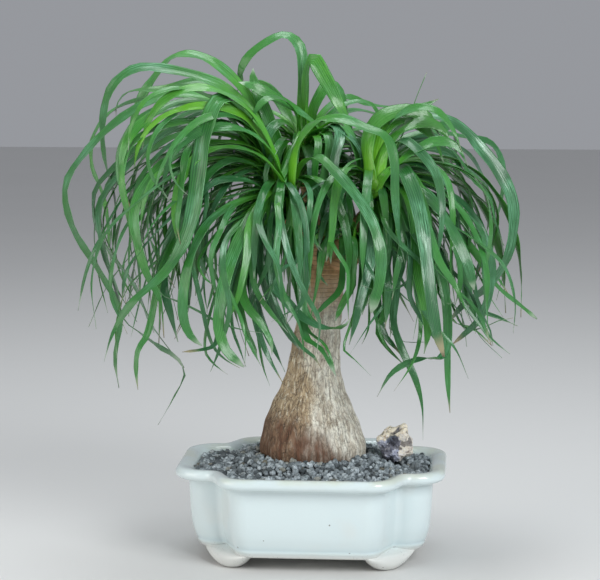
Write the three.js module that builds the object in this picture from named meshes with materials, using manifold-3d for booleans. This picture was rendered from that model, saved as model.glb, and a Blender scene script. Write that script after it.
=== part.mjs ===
// Potted ponytail palm: a swollen trunk with four heads of strap leaves, in a shallow lobed
// ceramic pot with gravel on top. Millimetres, +Z up, the front looks towards -Y.
import * as THREE from "three";
import * as BufferGeometryUtils from "three/addons/utils/BufferGeometryUtils.js";
import Module from "manifold-3d";

const wasm = await Module();
wasm.setup();

// Gap kept between two pieces that touch
const seatGap = 0.3;

// Pot: a long rectangle with a wide front and back lobe and two narrower end lobes
const potHalfLength = 122.5;
const potHalfDepth = 101;
const endLobeHalfDepth = 66;
const notchOuterX = 88;
const notchInnerX = 73;
const endCornerRadius = 28;
const lobeCornerRadius = 24;
const notchRadius = 9;
const squareInset = 70;
const potHeight = 88;
const footHeight = 13;
const floorThickness = 8;
const drainRadius = 8;
const drainX = 46;
// Pot section from the middle of the underside, over the rim, to the middle of the floor:
// distance in from the rim's outer edge, and height
const floorTop = footHeight + floorThickness;
const potSection = [
  [24, footHeight], [20.5, footHeight + 1.5], [20, 17.5], [17.5, 19.5], [14.5, 32], [12.2, 56],
  [11, 76.5], [3, 78], [0, 82.5], [1.2, 86.6], [4.5, potHeight], [11.5, 86.5],
  [17.5, 78], [20, 40], [25, floorTop + 3], [36, floorTop],
];
const innerWallRow = 11;
// Feet: brackets across the corners. Each row is the height, the half length along the corner and the
// half width outwards and inwards. footLean is how far the top row lies towards the corner.
const footAt = [70, 55.5];
const footRows = [
  [0, 7, 6, 6], [1.5, 12, 8.5, 9], [6, 20, 10.2, 14], [11.5, 27, 8.2, 18], [14.5, 30.5, 2, 21],
  [16.5, 27, -3, 20],
];
const footLean = [5, 2.3];
const footSquare = 2.2;
const footSides = 14;

// Filling: the heights of the potting mix and of the gravel on it, which is mounded at the trunk
const wallGap = 0.6;
const mixTop = 68;
const gravelEdgeTop = 84;
const gravelMoundTop = 95;
const gravelMound = [46, 88];
const gravelEdgeIn = 4;
// Grains in its top: the cells they stand in, how far each may stray in its cell, how far its peak
// and the valleys round it are from the top's mean height, and the numbers that scatter them
const gravelCells = [24, 20];
const gravelStray = 0.27;
const gravelPeak = [1.1, 2.5];
const gravelValley = [-2.9, -1.3];
const gravelScatter = [12.9898, 78.233, 43758.5453];
const gravelSlabFoot = -900;

// Trunk: half width and sideways shift of the middle line at each height
const trunkProfile = [
  [64, 30, 1], [70, 41, 1], [80, 47, 1], [92, 48.6, 0.5], [104, 48.2, 0], [114, 45.6, -0.8],
  [124, 42.2, -1.4], [134, 38, -1.7], [144, 33.6, -1.8], [154, 29.2, -1.2], [166, 25.6, -0.2],
  [182, 23, 1.6], [202, 21, 3.8], [226, 18.7, 7.6], [248, 16.8, 10.2], [268, 14.6, 12], [284, 11, 13],
];
const trunkTop = 285;
const trunkSides = 26;
const trunkShiftAtFork = 12;
const forkHeight = 264;
const branches = [
  { head: "left", from: 11, to: 8.2, dip: 4 },
  { head: "right", from: 11, to: 8.8, dip: 5 },
  { head: "mid", from: 9, to: 7.6, dip: -6 },
  { head: "low", from: 6.5, to: 5.6, dip: 2 },
];
// Bark relief: waves round the trunk that lean as they climb, and level rings
const barkDepth = 0.8;
const barkWaves = [
  { round: 7, climb: 19, share: 1 },
  { round: 13, climb: -27, share: 0.7 },
  { round: 0, climb: 3.1, share: 0.5 },
];
const trunkFlatten = 0.94;

// Front view that the leaf routes are read in: picture coordinates, 600 wide and 580 high, y down,
// seen from eye (millimetres from under the pot's middle), tilted down and turned against the pot
const frontView = { focal: 2100, middle: [300, 290], eye: [-12, -1900, 491], tiltDown: 7.4 };
const plantTurn = 4.5;

// Heads: where the leaves of one growing tip start, [picture x, picture y, depth], and the bud in it
const heads = {
  left: { at: [288, 196, -12], bud: 46, thick: 11 },
  right: { at: [371, 196, -8], bud: 52, thick: 12 },
  mid: { at: [303, 152, 22], bud: 34, thick: 10 },
  low: { at: [353, 246, -24], bud: 22, thick: 7.5 },
};

// Leaves that the front view shows. away is how far behind its head the tip hangs (less than 0 is
// in front), roll turns the upper face to the viewer in degrees at the base and the tip, and the
// route runs from just past the head to the tip in picture coordinates.
const shownLeaves = [
  {
    head: "left", width: 10.5, away: 20, roll: [20, 62],
    route: [
      [262, 130], [225, 88], [170, 70], [135, 69], [112, 87],
      [103, 120], [105, 160], [115, 200], [113, 245], [108, 275],
    ],
  },
  {
    head: "left", width: 10.5, away: -20, roll: [15, 60],
    route: [
      [250, 125], [205, 98], [165, 96], [125, 116], [88, 150], [66, 185],
      [72, 225], [100, 272], [120, 312], [115, 360], [119, 388],
    ],
  },
  {
    head: "left", width: 9.5, away: 50, roll: [15, 55],
    route: [
      [255, 120], [215, 99], [160, 97], [115, 109], [94, 135],
      [92, 165], [103, 195], [109, 235], [107, 262],
    ],
  },
  {
    head: "left", width: 11.5, away: 60, roll: [25, 50],
    route: [[263, 128], [243, 90], [205, 58], [175, 56], [154, 78], [138, 105], [132, 140], [136, 170]],
  },
  {
    head: "left", width: 9.5, away: 35, roll: [15, 50],
    route: [[258, 130], [232, 98], [200, 82], [160, 89], [128, 92], [117, 104], [116, 116]],
  },
  {
    head: "left", width: 9.5, away: -35, roll: [20, 55],
    route: [
      [255, 135], [215, 110], [175, 106], [142, 119],
      [124, 142], [119, 170], [125, 195], [134, 215],
    ],
  },
  {
    head: "left", width: 8.5, away: -55, roll: [15, 50],
    route: [
      [252, 140], [215, 122], [170, 124], [138, 138],
      [125, 158], [122, 185], [128, 215], [133, 250],
    ],
  },
  {
    head: "left", width: 8.5, away: 85, roll: [15, 50],
    route: [[252, 142], [210, 128], [165, 141], [142, 160], [134, 185], [136, 215]],
  },
  {
    head: "left", width: 13, away: -88, roll: [10, 60],
    route: [
      [262, 128], [238, 102], [220, 99], [206, 128], [198, 175], [193, 210],
      [183, 243], [165, 272], [130, 305], [112, 335], [104, 362],
    ],
  },
  {
    head: "left", width: 10.5, away: -72, roll: [10, 50],
    route: [
      [258, 150], [215, 143], [172, 158], [147, 183], [134, 213],
      [137, 240], [146, 272], [160, 300], [164, 338],
    ],
  },
  {
    head: "left", width: 10.5, away: 8, roll: [10, 55],
    route: [
      [255, 140], [205, 126], [150, 140], [118, 165], [96, 190], [96, 225], [112, 255],
      [135, 285], [150, 322], [172, 353], [185, 371], [174, 397], [158, 425],
    ],
  },
  {
    head: "left", width: 9.5, away: -100, roll: [10, 30],
    route: [
      [262, 195], [235, 204], [210, 221], [194, 248],
      [185, 280], [183, 315], [190, 335], [202, 346],
    ],
  },
  {
    head: "left", width: 11.5, away: -112, roll: [10, 20],
    route: [
      [272, 196], [255, 212], [240, 238], [228, 270],
      [220, 305], [219, 328], [226, 350], [244, 367],
    ],
  },
  {
    head: "left", width: 8, away: -84, roll: [10, 25],
    route: [
      [275, 215], [262, 243], [247, 262], [242, 290],
      [247, 306], [262, 325], [271, 342], [272, 355],
    ],
  },
  {
    head: "left", width: 9.5, away: -92, roll: [5, 15],
    route: [
      [287, 206], [275, 226], [268, 252], [271, 280], [285, 300],
      [303, 318], [325, 328], [343, 327], [351, 318],
    ],
  },
  {
    head: "left", width: 9.5, away: -96, roll: [0, 10],
    route: [
      [295, 214], [298, 240], [301, 275], [303, 312],
      [306, 338], [320, 348], [329, 362], [336, 376],
    ],
  },
  {
    head: "left", width: 11.5, away: -104, roll: [10, 25],
    route: [
      [300, 168], [316, 157], [335, 172], [356, 196],
      [373, 224], [381, 255], [379, 285], [371, 313],
    ],
  },
  {
    head: "left", width: 10.5, away: -80, roll: [20, 40],
    route: [
      [293, 165], [303, 138], [320, 121], [342, 119], [366, 128],
      [386, 137], [394, 160], [395, 195], [399, 235], [406, 268],
    ],
  },
  {
    head: "left", width: 11.5, away: 24, roll: [50, 65],
    route: [[280, 155], [268, 118], [258, 93], [253, 78], [253, 68]],
  },
  {
    head: "left", width: 9.5, away: -40, roll: [15, 35],
    route: [[265, 163], [245, 151], [215, 146], [190, 152], [172, 172], [170, 195]],
  },
  {
    head: "left", width: 8.5, away: 70, roll: [15, 45],
    route: [
      [262, 150], [240, 132], [215, 131], [190, 143],
      [172, 160], [160, 185], [158, 215], [165, 240],
    ],
  },
  {
    head: "left", width: 10.5, away: 95, roll: [15, 40],
    route: [
      [262, 140], [240, 114], [210, 108], [180, 118],
      [155, 140], [146, 170], [150, 205], [160, 240],
    ],
  },
  {
    head: "left", width: 9.5, away: 105, roll: [10, 30],
    route: [[265, 178], [245, 170], [220, 167], [200, 175], [185, 200], [178, 235], [184, 265]],
  },
  {
    head: "left", width: 8.5, away: -66, roll: [10, 30],
    route: [[265, 188], [245, 180], [215, 182], [192, 205], [180, 235], [178, 262]],
  },
  {
    head: "left", width: 8, away: 62, roll: [10, 40],
    route: [[270, 175], [240, 175], [210, 195], [190, 225], [200, 252], [225, 268], [262, 270]],
  },
  {
    head: "left", width: 8.5, away: -64, roll: [5, 30],
    route: [
      [276, 205], [262, 222], [252, 250], [251, 280],
      [256, 305], [265, 330], [277, 355], [285, 372],
    ],
  },
  {
    head: "left", width: 7, away: 44, roll: [5, 30],
    route: [[270, 212], [250, 235], [238, 270], [234, 300], [240, 330], [249, 356]],
  },
  {
    head: "mid", width: 10.5, away: 10, roll: [62, 50],
    route: [[302, 110], [303, 75], [299, 46], [286, 35], [265, 43], [247, 58], [240, 75], [246, 88]],
  },
  {
    head: "mid", width: 11.5, away: -24, roll: [40, 55],
    route: [[305, 110], [308, 70], [314, 55], [328, 74], [342, 100], [352, 125], [353, 150]],
  },
  {
    head: "mid", width: 11.5, away: -34, roll: [30, 60],
    route: [[318, 130], [306, 117], [285, 103], [265, 92], [250, 85], [238, 82]],
  },
  {
    head: "mid", width: 10.5, away: 20, roll: [40, 50],
    route: [[312, 115], [322, 92], [330, 82], [340, 92], [346, 118], [344, 150]],
  },
  {
    head: "mid", width: 7, away: 40, roll: [20, 40],
    route: [[318, 120], [345, 97], [368, 104], [392, 107], [431, 105]],
  },
  {
    head: "mid", width: 7, away: 14, roll: [20, 50],
    route: [[318, 130], [338, 108], [360, 101], [374, 106], [379, 122], [380, 134]],
  },
  {
    head: "mid", width: 9.5, away: -62, roll: [10, 20],
    route: [[318, 140], [333, 125], [340, 132], [335, 158], [333, 180], [338, 198], [344, 208]],
  },
  {
    head: "mid", width: 9.5, away: -48, roll: [10, 20],
    route: [[318, 138], [338, 122], [351, 135], [358, 160], [363, 190]],
  },
  {
    head: "mid", width: 9.5, away: 58, roll: [30, 50],
    route: [[293, 130], [286, 112], [275, 95], [262, 85], [245, 85], [230, 98]],
  },
  {
    head: "mid", width: 8, away: 80, roll: [30, 40],
    route: [[320, 125], [355, 110], [395, 118], [425, 106], [439, 99]],
  },
  {
    head: "mid", width: 10.5, away: -44, roll: [20, 30],
    route: [[297, 135], [283, 122], [272, 128], [262, 150], [258, 180], [262, 210]],
  },
  {
    head: "right", width: 12, away: -22, roll: [20, 60],
    route: [
      [385, 150], [410, 121], [437, 117], [462, 129], [480, 148], [500, 173],
      [512, 200], [513, 230], [506, 260], [488, 286], [462, 306], [445, 328],
    ],
  },
  {
    head: "right", width: 8, away: 48, roll: [15, 55],
    route: [
      [390, 150], [420, 133], [465, 137], [492, 144],
      [503, 168], [501, 200], [494, 232], [492, 262],
    ],
  },
  {
    head: "right", width: 8, away: -88, roll: [10, 45],
    route: [[385, 155], [402, 140], [420, 152], [436, 174], [442, 205], [440, 240], [436, 262]],
  },
  {
    head: "right", width: 13, away: -118, roll: [5, 20],
    route: [
      [383, 176], [401, 168], [413, 190], [421, 220],
      [426, 255], [430, 290], [436, 330], [444, 357],
    ],
  },
  {
    head: "right", width: 11.5, away: -84, roll: [10, 35],
    route: [[390, 178], [420, 192], [442, 214], [457, 240], [468, 265], [474, 290]],
  },
  {
    head: "right", width: 8.5, away: -36, roll: [10, 50],
    route: [
      [392, 175], [430, 186], [462, 203], [480, 228], [491, 258],
      [491, 285], [480, 318], [462, 336], [447, 349],
    ],
  },
  {
    head: "right", width: 8.5, away: 30, roll: [10, 50],
    route: [
      [392, 160], [425, 148], [450, 153], [463, 172],
      [485, 190], [493, 215], [499, 234], [504, 246],
    ],
  },
  {
    head: "right", width: 9.5, away: 76, roll: [15, 50],
    route: [
      [392, 155], [420, 138], [440, 139], [468, 154],
      [483, 178], [491, 208], [493, 240], [490, 268],
    ],
  },
  {
    head: "right", width: 11.5, away: 92, roll: [30, 50],
    route: [[392, 160], [420, 146], [445, 126], [453, 132], [456, 160], [462, 190], [468, 215]],
  },
  {
    head: "right", width: 9.5, away: 60, roll: [20, 45],
    route: [
      [385, 150], [400, 131], [420, 127], [440, 140],
      [452, 165], [460, 195], [466, 225], [474, 255],
    ],
  },
  {
    head: "right", width: 9.5, away: -58, roll: [10, 40],
    route: [[388, 180], [412, 184], [432, 200], [446, 225], [458, 255], [460, 285], [455, 306]],
  },
  {
    head: "right", width: 11.5, away: -100, roll: [10, 20],
    route: [
      [386, 182], [402, 186], [412, 205], [416, 235],
      [418, 268], [424, 300], [428, 330], [424, 354],
    ],
  },
  {
    head: "right", width: 8, away: -70, roll: [5, 20],
    route: [[376, 200], [381, 225], [385, 255], [388, 285], [387, 310], [385, 330]],
  },
  {
    head: "right", width: 8.5, away: -76, roll: [5, 20],
    route: [[371, 205], [372, 235], [370, 265], [362, 295], [356, 320], [349, 345]],
  },
  {
    head: "right", width: 8.5, away: 18, roll: [10, 45],
    route: [[390, 172], [430, 172], [460, 188], [478, 215], [484, 245], [478, 270], [474, 290]],
  },
  {
    head: "right", width: 7, away: 110, roll: [10, 50],
    route: [[392, 165], [432, 160], [463, 166], [483, 190], [488, 225], [480, 250]],
  },
  {
    head: "right", width: 8, away: -6, roll: [10, 40],
    route: [[392, 184], [430, 198], [460, 235], [482, 262], [497, 286], [520, 305], [537, 319]],
  },
  {
    head: "right", width: 8, away: -46, roll: [5, 20],
    route: [
      [388, 186], [408, 200], [420, 235], [432, 270],
      [446, 300], [447, 340], [448, 385], [450, 413],
    ],
  },
  {
    head: "right", width: 8.5, away: -62, roll: [5, 20],
    route: [
      [382, 190], [391, 215], [396, 250], [396, 290], [393, 320],
      [402, 350], [415, 378], [422, 405], [423, 440],
    ],
  },
  {
    head: "right", width: 7, away: 52, roll: [10, 40],
    route: [[390, 186], [425, 210], [448, 245], [458, 290], [475, 308], [500, 318], [517, 326]],
  },
  {
    head: "right", width: 8.5, away: 66, roll: [5, 30],
    route: [[390, 184], [418, 202], [436, 240], [447, 285], [452, 320], [475, 330], [491, 345]],
  },
  {
    head: "right", width: 9.5, away: 20, roll: [15, 30],
    route: [[366, 160], [355, 140], [345, 138], [336, 150], [333, 175]],
  },
  {
    head: "right", width: 13, away: -4, roll: [70, 80],
    route: [[372, 165], [373, 145], [375, 128]],
  },
  {
    head: "right", width: 11.5, away: 14, roll: [70, 80],
    route: [[377, 165], [380, 140], [384, 122]],
  },
  {
    head: "low", width: 7, away: -40, roll: [5, 20],
    route: [[352, 232], [343, 240], [343, 270], [340, 290], [325, 305], [314, 316]],
  },
  {
    head: "low", width: 7, away: -34, roll: [5, 20],
    route: [[358, 232], [366, 240], [367, 268], [367, 290], [362, 315]],
  },
  {
    head: "low", width: 8.5, away: -48, roll: [5, 15],
    route: [[345, 222], [333, 215], [331, 232], [323, 252], [318, 280], [308, 330]],
  },
  {
    head: "low", width: 8, away: -30, roll: [5, 20],
    route: [[360, 235], [376, 248], [384, 280], [386, 310], [378, 330], [385, 345], [403, 364]],
  },
  {
    head: "low", width: 7, away: 16, roll: [5, 20],
    route: [[365, 230], [385, 240], [395, 262], [393, 300], [390, 330], [402, 341], [428, 342]],
  },
];

// Leaves that hang behind and between them, placed by rule: how many on each head, the headings
// they are spread over (0 right, 90 away from the viewer), and their length
const hiddenLeaves = [
  { head: "left", count: 10, heading: [25, 170], length: [190, 270], width: 10 },
  { head: "right", count: 10, heading: [5, 155], length: [190, 270], width: 10 },
  { head: "mid", count: 5, heading: [30, 165], length: [210, 260], width: 10 },
  { head: "low", count: 4, heading: [10, 170], length: [110, 150], width: 7.5 },
  { head: "left", count: 4, heading: [200, 330], length: [120, 190], width: 8 },
  { head: "right", count: 4, heading: [215, 350], length: [120, 190], width: 8 },
];
// Their slope in degrees at the head and at the tip, and how far they turn sideways, in radians
const hiddenStartSlope = [50, 76];
const hiddenEndSlope = [-94, -84];
const hiddenSway = 0.45;
const hiddenLinePieces = 7;
const hiddenSegments = 4;
const hiddenRoll = [-15, 35];

const budFoot = 5;
const shownSegments = { perPoint: 0.68, least: 3, most: 8 };
const leafThickness = 0.8;
const leafTipWidth = 0.28;
const leafBaseWidth = 0.7;
const trunkClearance = 5;
const lowestLeafPoint = 106;

// Stone on the gravel, beside the trunk
const rock = {
  at: [75.5, -7, 102.5], size: [15, 13, 14.5], square: 3.4, tilt: 18, facets: 2, roughness: 0.09,
};
const rockWaves = { x: 4.3, y: 3.7, z: 7.1, lean: 5, fine: 0.6 };
const rockGap = 0.4;

// Mesh screens over the drain holes
const screen = { side: 26, thickness: 1, openings: 3, bar: 2 };

const degrees = Math.PI / 180;

// A repeatable random draw from 0 to 1
let drawState = 7;
function draw() {
  drawState = (drawState * 16807) % 2147483647;
  return drawState / 2147483647;
}

function drawBetween([least, most]) {
  return least + (most - least) * draw();
}

// A closed geometry as a solid with its faces turned out
function toSolid(geometry) {
  const bare = geometry.index ? geometry.toNonIndexed() : geometry.clone();
  bare.deleteAttribute("normal");
  bare.deleteAttribute("uv");
  const merged = BufferGeometryUtils.mergeVertices(bare, 1e-4);
  const corners = [];
  const faces = merged.index.array;
  for (let i = 0; i < faces.length; i += 3) {
    const [a, b, c] = [faces[i], faces[i + 1], faces[i + 2]];
    if (a !== b && b !== c && a !== c) corners.push(a, b, c);
  }
  const vertProperties = new Float32Array(merged.attributes.position.array);
  const solid = new wasm.Manifold(new wasm.Mesh({
    numProp: 3,
    vertProperties,
    triVerts: new Uint32Array(corners),
  }));
  if (solid.volume() > 0) return solid;
  return new wasm.Manifold(new wasm.Mesh({
    numProp: 3,
    vertProperties,
    triVerts: new Uint32Array(corners.reverse()),
  }));
}

function toGeometry(solid) {
  const mesh = solid.getMesh();
  const geometry = new THREE.BufferGeometry();
  geometry.setAttribute("position", new THREE.BufferAttribute(new Float32Array(mesh.vertProperties), 3));
  geometry.setIndex(new THREE.BufferAttribute(new Uint32Array(mesh.triVerts), 1));
  geometry.computeVertexNormals();
  return geometry;
}

function largestPiece(solid) {
  return solid.decompose().sort((a, b) => b.volume() - a.volume())[0];
}

function namedMesh(name, geometry, colour, roughness, metalness = 0) {
  const material = new THREE.MeshStandardMaterial({ color: colour, roughness, metalness });
  const mesh = new THREE.Mesh(geometry, material);
  mesh.name = name;
  return mesh;
}

// Quarter of the plan outline, moved in by inset: the corner points and their rounding, which
// gets less until the corners are square at squareInset
function outlineCorners(inset) {
  const slant = new THREE.Vector2(notchInnerX - notchOuterX, potHalfDepth - endLobeHalfDepth).normalize();
  const slantX = notchOuterX - inset * slant.y;
  const slantY = endLobeHalfDepth + inset * slant.x;
  const onSlant = (y) => slantX + (slant.x / slant.y) * (y - slantY);
  const endY = endLobeHalfDepth - inset;
  const lobeY = potHalfDepth - inset;
  const softness = 1 - inset / squareInset;
  return [
    { at: new THREE.Vector2(potHalfLength - inset, endY), radius: endCornerRadius * softness, steps: 5 },
    { at: new THREE.Vector2(onSlant(endY), endY), radius: notchRadius * softness, steps: 2 },
    { at: new THREE.Vector2(onSlant(lobeY), lobeY), radius: lobeCornerRadius * softness, steps: 3 },
  ];
}

// Points of one rounded corner, on the arc that touches both of its sides
function roundedCorner(before, corner, after) {
  const toBefore = before.clone().sub(corner.at).normalize();
  const toAfter = after.clone().sub(corner.at).normalize();
  const halfAngle = Math.acos(toBefore.dot(toAfter)) / 2;
  const bisector = toBefore.clone().add(toAfter).normalize();
  const centre = corner.at.clone().addScaledVector(bisector, corner.radius / Math.sin(halfAngle));
  const reach = corner.radius / Math.tan(halfAngle);
  const start = corner.at.clone().addScaledVector(toBefore, reach).sub(centre);
  const end = corner.at.clone().addScaledVector(toAfter, reach).sub(centre);
  const sweep = Math.atan2(start.cross(end), start.dot(end));
  const points = [];
  for (let i = 0; i <= corner.steps; i++) {
    const turned = start.clone().rotateAround(new THREE.Vector2(), (sweep * i) / corner.steps);
    points.push(turned.add(centre));
  }
  return points;
}

// Whole plan outline, anticlockwise from the right end, always with the same number of points
function planOutline(inset) {
  const corners = outlineCorners(inset);
  const first = new THREE.Vector2(corners[0].at.x, 0);
  const last = new THREE.Vector2(0, corners[2].at.y);
  const stops = [first, ...corners.map((corner) => corner.at), last];
  const quarter = corners.flatMap((corner, i) => roundedCorner(stops[i], corner, stops[i + 2]));
  const mirrored = (points, x, y) => points.map((point) => new THREE.Vector2(point.x * x, point.y * y));
  return [
    ...quarter,
    ...mirrored(quarter, -1, 1).reverse(),
    ...mirrored(quarter, -1, -1),
    ...mirrored(quarter, 1, -1).reverse(),
  ];
}

// A lathe whose round plan is bent onto the pot's outline. The section's rows are [inset, height, scale],
// where scale draws the outline in towards the axis: 1 if left out, 0 on the axis.
function lobedLathe(section) {
  const outlines = section.map(([inset]) => planOutline(inset));
  const count = outlines[0].length;
  const profile = section.map(([, height, scale = 1]) => new THREE.Vector2(scale, height));
  const geometry = new THREE.LatheGeometry(profile, count);
  const position = geometry.attributes.position;
  for (let side = 0; side <= count; side++) {
    for (let row = 0; row < section.length; row++) {
      const [, height, scale = 1] = section[row];
      const point = outlines[row][side % count];
      position.setXYZ(side * section.length + row, point.x * scale, point.y * scale, height);
    }
  }
  return geometry;
}

// Distance of the pot's inner wall from the rim's outer edge at a height
function wallInsetAt(z) {
  const rows = potSection.slice(innerWallRow);
  const below = rows.findIndex((row) => row[1] <= z);
  const [low, high] = [rows[below], rows[below - 1]];
  return low[0] + ((high[0] - low[0]) * (z - low[1])) / (high[1] - low[1]);
}

// Foot: at each height a squarish oval whose long side lies across the corner
function makeFoot(sideX, sideY) {
  const top = footRows[footRows.length - 1][0];
  const rows = [[0, 0, 0, 0], ...footRows, [top, 0, 0, 0]];
  const profile = rows.map(([height, along]) => new THREE.Vector2(along, height));
  const geometry = new THREE.LatheGeometry(profile, footSides);
  const position = geometry.attributes.position;
  for (let side = 0; side <= footSides; side++) {
    const angle = (2 * Math.PI * (side % footSides)) / footSides;
    const [c, s] = [Math.cos(angle), Math.sin(angle)];
    const reach = (Math.abs(c) ** footSquare + Math.abs(s) ** footSquare) ** (-1 / footSquare);
    rows.forEach(([height, along, outward, inward], row) => {
      const u = along * c * reach * Math.SQRT1_2;
      const v = (s > 0 ? outward : inward) * s * reach * Math.SQRT1_2;
      const [x, y] = footAt.map((at, k) => at + (footLean[k] * height) / top);
      position.setXYZ(side * rows.length + row, sideX * (x + v - u), sideY * (y + v + u), height);
    });
  }
  return toSolid(geometry);
}

function makePot() {
  const [first, last] = [potSection[0], potSection[potSection.length - 1]];
  let body = toSolid(lobedLathe([[...first, 0], ...potSection, [...last, 0]]));
  for (const [x, y] of [[1, 1], [-1, 1], [-1, -1], [1, -1]]) body = body.add(makeFoot(x, y));
  for (const x of [-drainX, drainX]) {
    const drill = new THREE.CylinderGeometry(drainRadius, drainRadius, 4 * floorThickness, 20);
    drill.rotateX(Math.PI / 2);
    drill.translate(x, 0, footHeight);
    body = body.subtract(toSolid(drill));
  }
  return body;
}

// Plastic mesh laid over a drain hole: square openings between thin bars
function makeScreen(x) {
  const z = floorTop + seatGap + screen.thickness / 2;
  const plate = new THREE.BoxGeometry(screen.side, screen.side, screen.thickness);
  let solid = toSolid(plate.translate(x, 0, z));
  const pitch = (screen.side - screen.bar) / screen.openings;
  for (let i = 0; i < screen.openings; i++) {
    for (let j = 0; j < screen.openings; j++) {
      const opening = new THREE.BoxGeometry(pitch - screen.bar, pitch - screen.bar, 3 * screen.thickness);
      const shift = (k) => (k - (screen.openings - 1) / 2) * pitch;
      solid = solid.subtract(toSolid(opening.translate(x + shift(i), shift(j), z)));
    }
  }
  return solid;
}

function trunkRadiusAt(z) {
  const rows = trunkProfile;
  if (z <= rows[0][0]) return rows[0].slice(1);
  for (let i = 1; i < rows.length; i++) {
    if (z <= rows[i][0]) {
      const t = (z - rows[i - 1][0]) / (rows[i][0] - rows[i - 1][0]);
      return [1, 2].map((k) => rows[i - 1][k] + t * (rows[i][k] - rows[i - 1][k]));
    }
  }
  return rows[rows.length - 1].slice(1);
}

// Trunk: a lathe with its middle line shifted sideways, upright bark ridges and shallow level rings.
// grow makes it larger all round, for the hole it stands in.
function makeTrunkBody(grow) {
  const rows = trunkProfile.map(([z, radius]) => new THREE.Vector2(radius, z));
  rows[0].y -= grow;
  rows[rows.length - 1].y += grow;
  const bottom = new THREE.Vector2(0, rows[0].y);
  const top = new THREE.Vector2(0, rows[rows.length - 1].y);
  const geometry = new THREE.LatheGeometry([bottom, ...rows, top], trunkSides);
  const position = geometry.attributes.position;
  for (let i = 0; i < position.count; i++) {
    const [x, z, y] = [position.getX(i), position.getY(i), position.getZ(i)];
    const radius = Math.hypot(x, y);
    const angle = Math.atan2(y, x);
    const shift = trunkRadiusAt(z)[1];
    const ridge = barkWaves.reduce((sum, { round, climb, share }) => {
      return sum + share * Math.sin(round * angle + z / climb);
    }, 0);
    const bumped = radius < 1 ? radius : radius + barkDepth * ridge + grow;
    position.setXYZ(i, shift + bumped * Math.cos(angle), trunkFlatten * bumped * Math.sin(angle), z);
  }
  return toSolid(geometry);
}

// A round stem along a curve, from one radius to another, with closed ends
function taperedStem(points, startRadius, endRadius, sides = 9, steps = 4) {
  const curve = new THREE.CatmullRomCurve3(points, false, "centripetal");
  const geometry = new THREE.CylinderGeometry(1, 1, 1, sides, steps);
  const position = geometry.attributes.position;
  for (let i = 0; i < position.count; i++) {
    const t = THREE.MathUtils.clamp(position.getY(i) + 0.5, 0, 1);
    const radius = startRadius + (endRadius - startRadius) * t;
    const tangent = curve.getTangent(t);
    const side = new THREE.Vector3(1, 0, 0).addScaledVector(tangent, -tangent.x).normalize();
    const front = tangent.clone().cross(side);
    const local = new THREE.Vector2(position.getX(i), position.getZ(i)).multiplyScalar(radius);
    const place = curve.getPoint(t).addScaledVector(side, local.x).addScaledVector(front, local.y);
    position.setXYZ(i, place.x, place.y, place.z);
  }
  return toSolid(geometry);
}

// A picture point of the front view at the given depth behind the pot's middle
function fromPicture([u, v], depth) {
  const [eyeX, eyeY, eyeZ] = frontView.eye;
  const sine = Math.sin(frontView.tiltDown * degrees);
  const cosine = Math.cos(frontView.tiltDown * degrees);
  const acrossPerStep = (u - frontView.middle[0]) / frontView.focal;
  const upPerStep = -(v - frontView.middle[1]) / frontView.focal;
  const steps = (depth - eyeY) / (cosine + upPerStep * sine);
  return new THREE.Vector3(eyeX + steps * acrossPerStep, depth, eyeZ + steps * (upPerStep * cosine - sine));
}

function headPoint(name) {
  const [u, v, depth] = heads[name].at;
  return fromPicture([u, v], depth);
}

// Keeps a leaf point outside the trunk and above the gravel
function clearOfTrunk(point) {
  const [radius, shift] = trunkRadiusAt(point.z);
  const away = new THREE.Vector2(point.x - shift, point.y);
  const least = radius + trunkClearance;
  if (point.z < trunkTop && away.length() < least) away.setLength(least);
  return new THREE.Vector3(away.x + shift, away.y, Math.max(point.z, lowestLeafPoint));
}

// Where a leaf leaves the bud: a little out and up from the head towards its next point
function leadOut(name, towards) {
  const start = headPoint(name);
  const way = new THREE.Vector3(towards.x - start.x, towards.y - start.y, 0);
  way.setLength(Math.min(way.length(), heads[name].thick + 2));
  return start.clone().add(way).add(new THREE.Vector3(0, 0, 8));
}

// Middle line of a shown leaf: from its head, through the route, easing out to its depth
function shownLeafLine(leaf) {
  const start = headPoint(leaf.head);
  const points = leaf.route.map((place, i) => {
    const t = (i + 1) / leaf.route.length;
    return clearOfTrunk(fromPicture(place, start.y + leaf.away * t * (2 - t)));
  });
  return [start, leadOut(leaf.head, points[0]), ...points];
}

// Middle line of a hidden leaf: it leaves the head at a steep angle and bends over under its weight,
// its slope falling from the start angle to straight down along its length
function hiddenLeafLine(head, heading, length) {
  const points = [headPoint(head)];
  const startSlope = drawBetween(hiddenStartSlope) * degrees;
  const endSlope = drawBetween(hiddenEndSlope) * degrees;
  const sway = drawBetween([-hiddenSway, hiddenSway]);
  for (let i = 0; i < hiddenLinePieces; i++) {
    const t = (i + 0.5) / hiddenLinePieces;
    const slope = startSlope + (endSlope - startSlope) * Math.min(1, 1.9 * t - 0.9 * t * t);
    const turned = heading + sway * t * t;
    const step = length / hiddenLinePieces;
    const next = points[i].clone();
    next.x += step * Math.cos(slope) * Math.cos(turned);
    next.y += step * Math.cos(slope) * Math.sin(turned);
    next.z += step * Math.sin(slope);
    if (next.z < lowestLeafPoint) break;
    points.push(clearOfTrunk(next));
  }
  return points;
}

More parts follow.
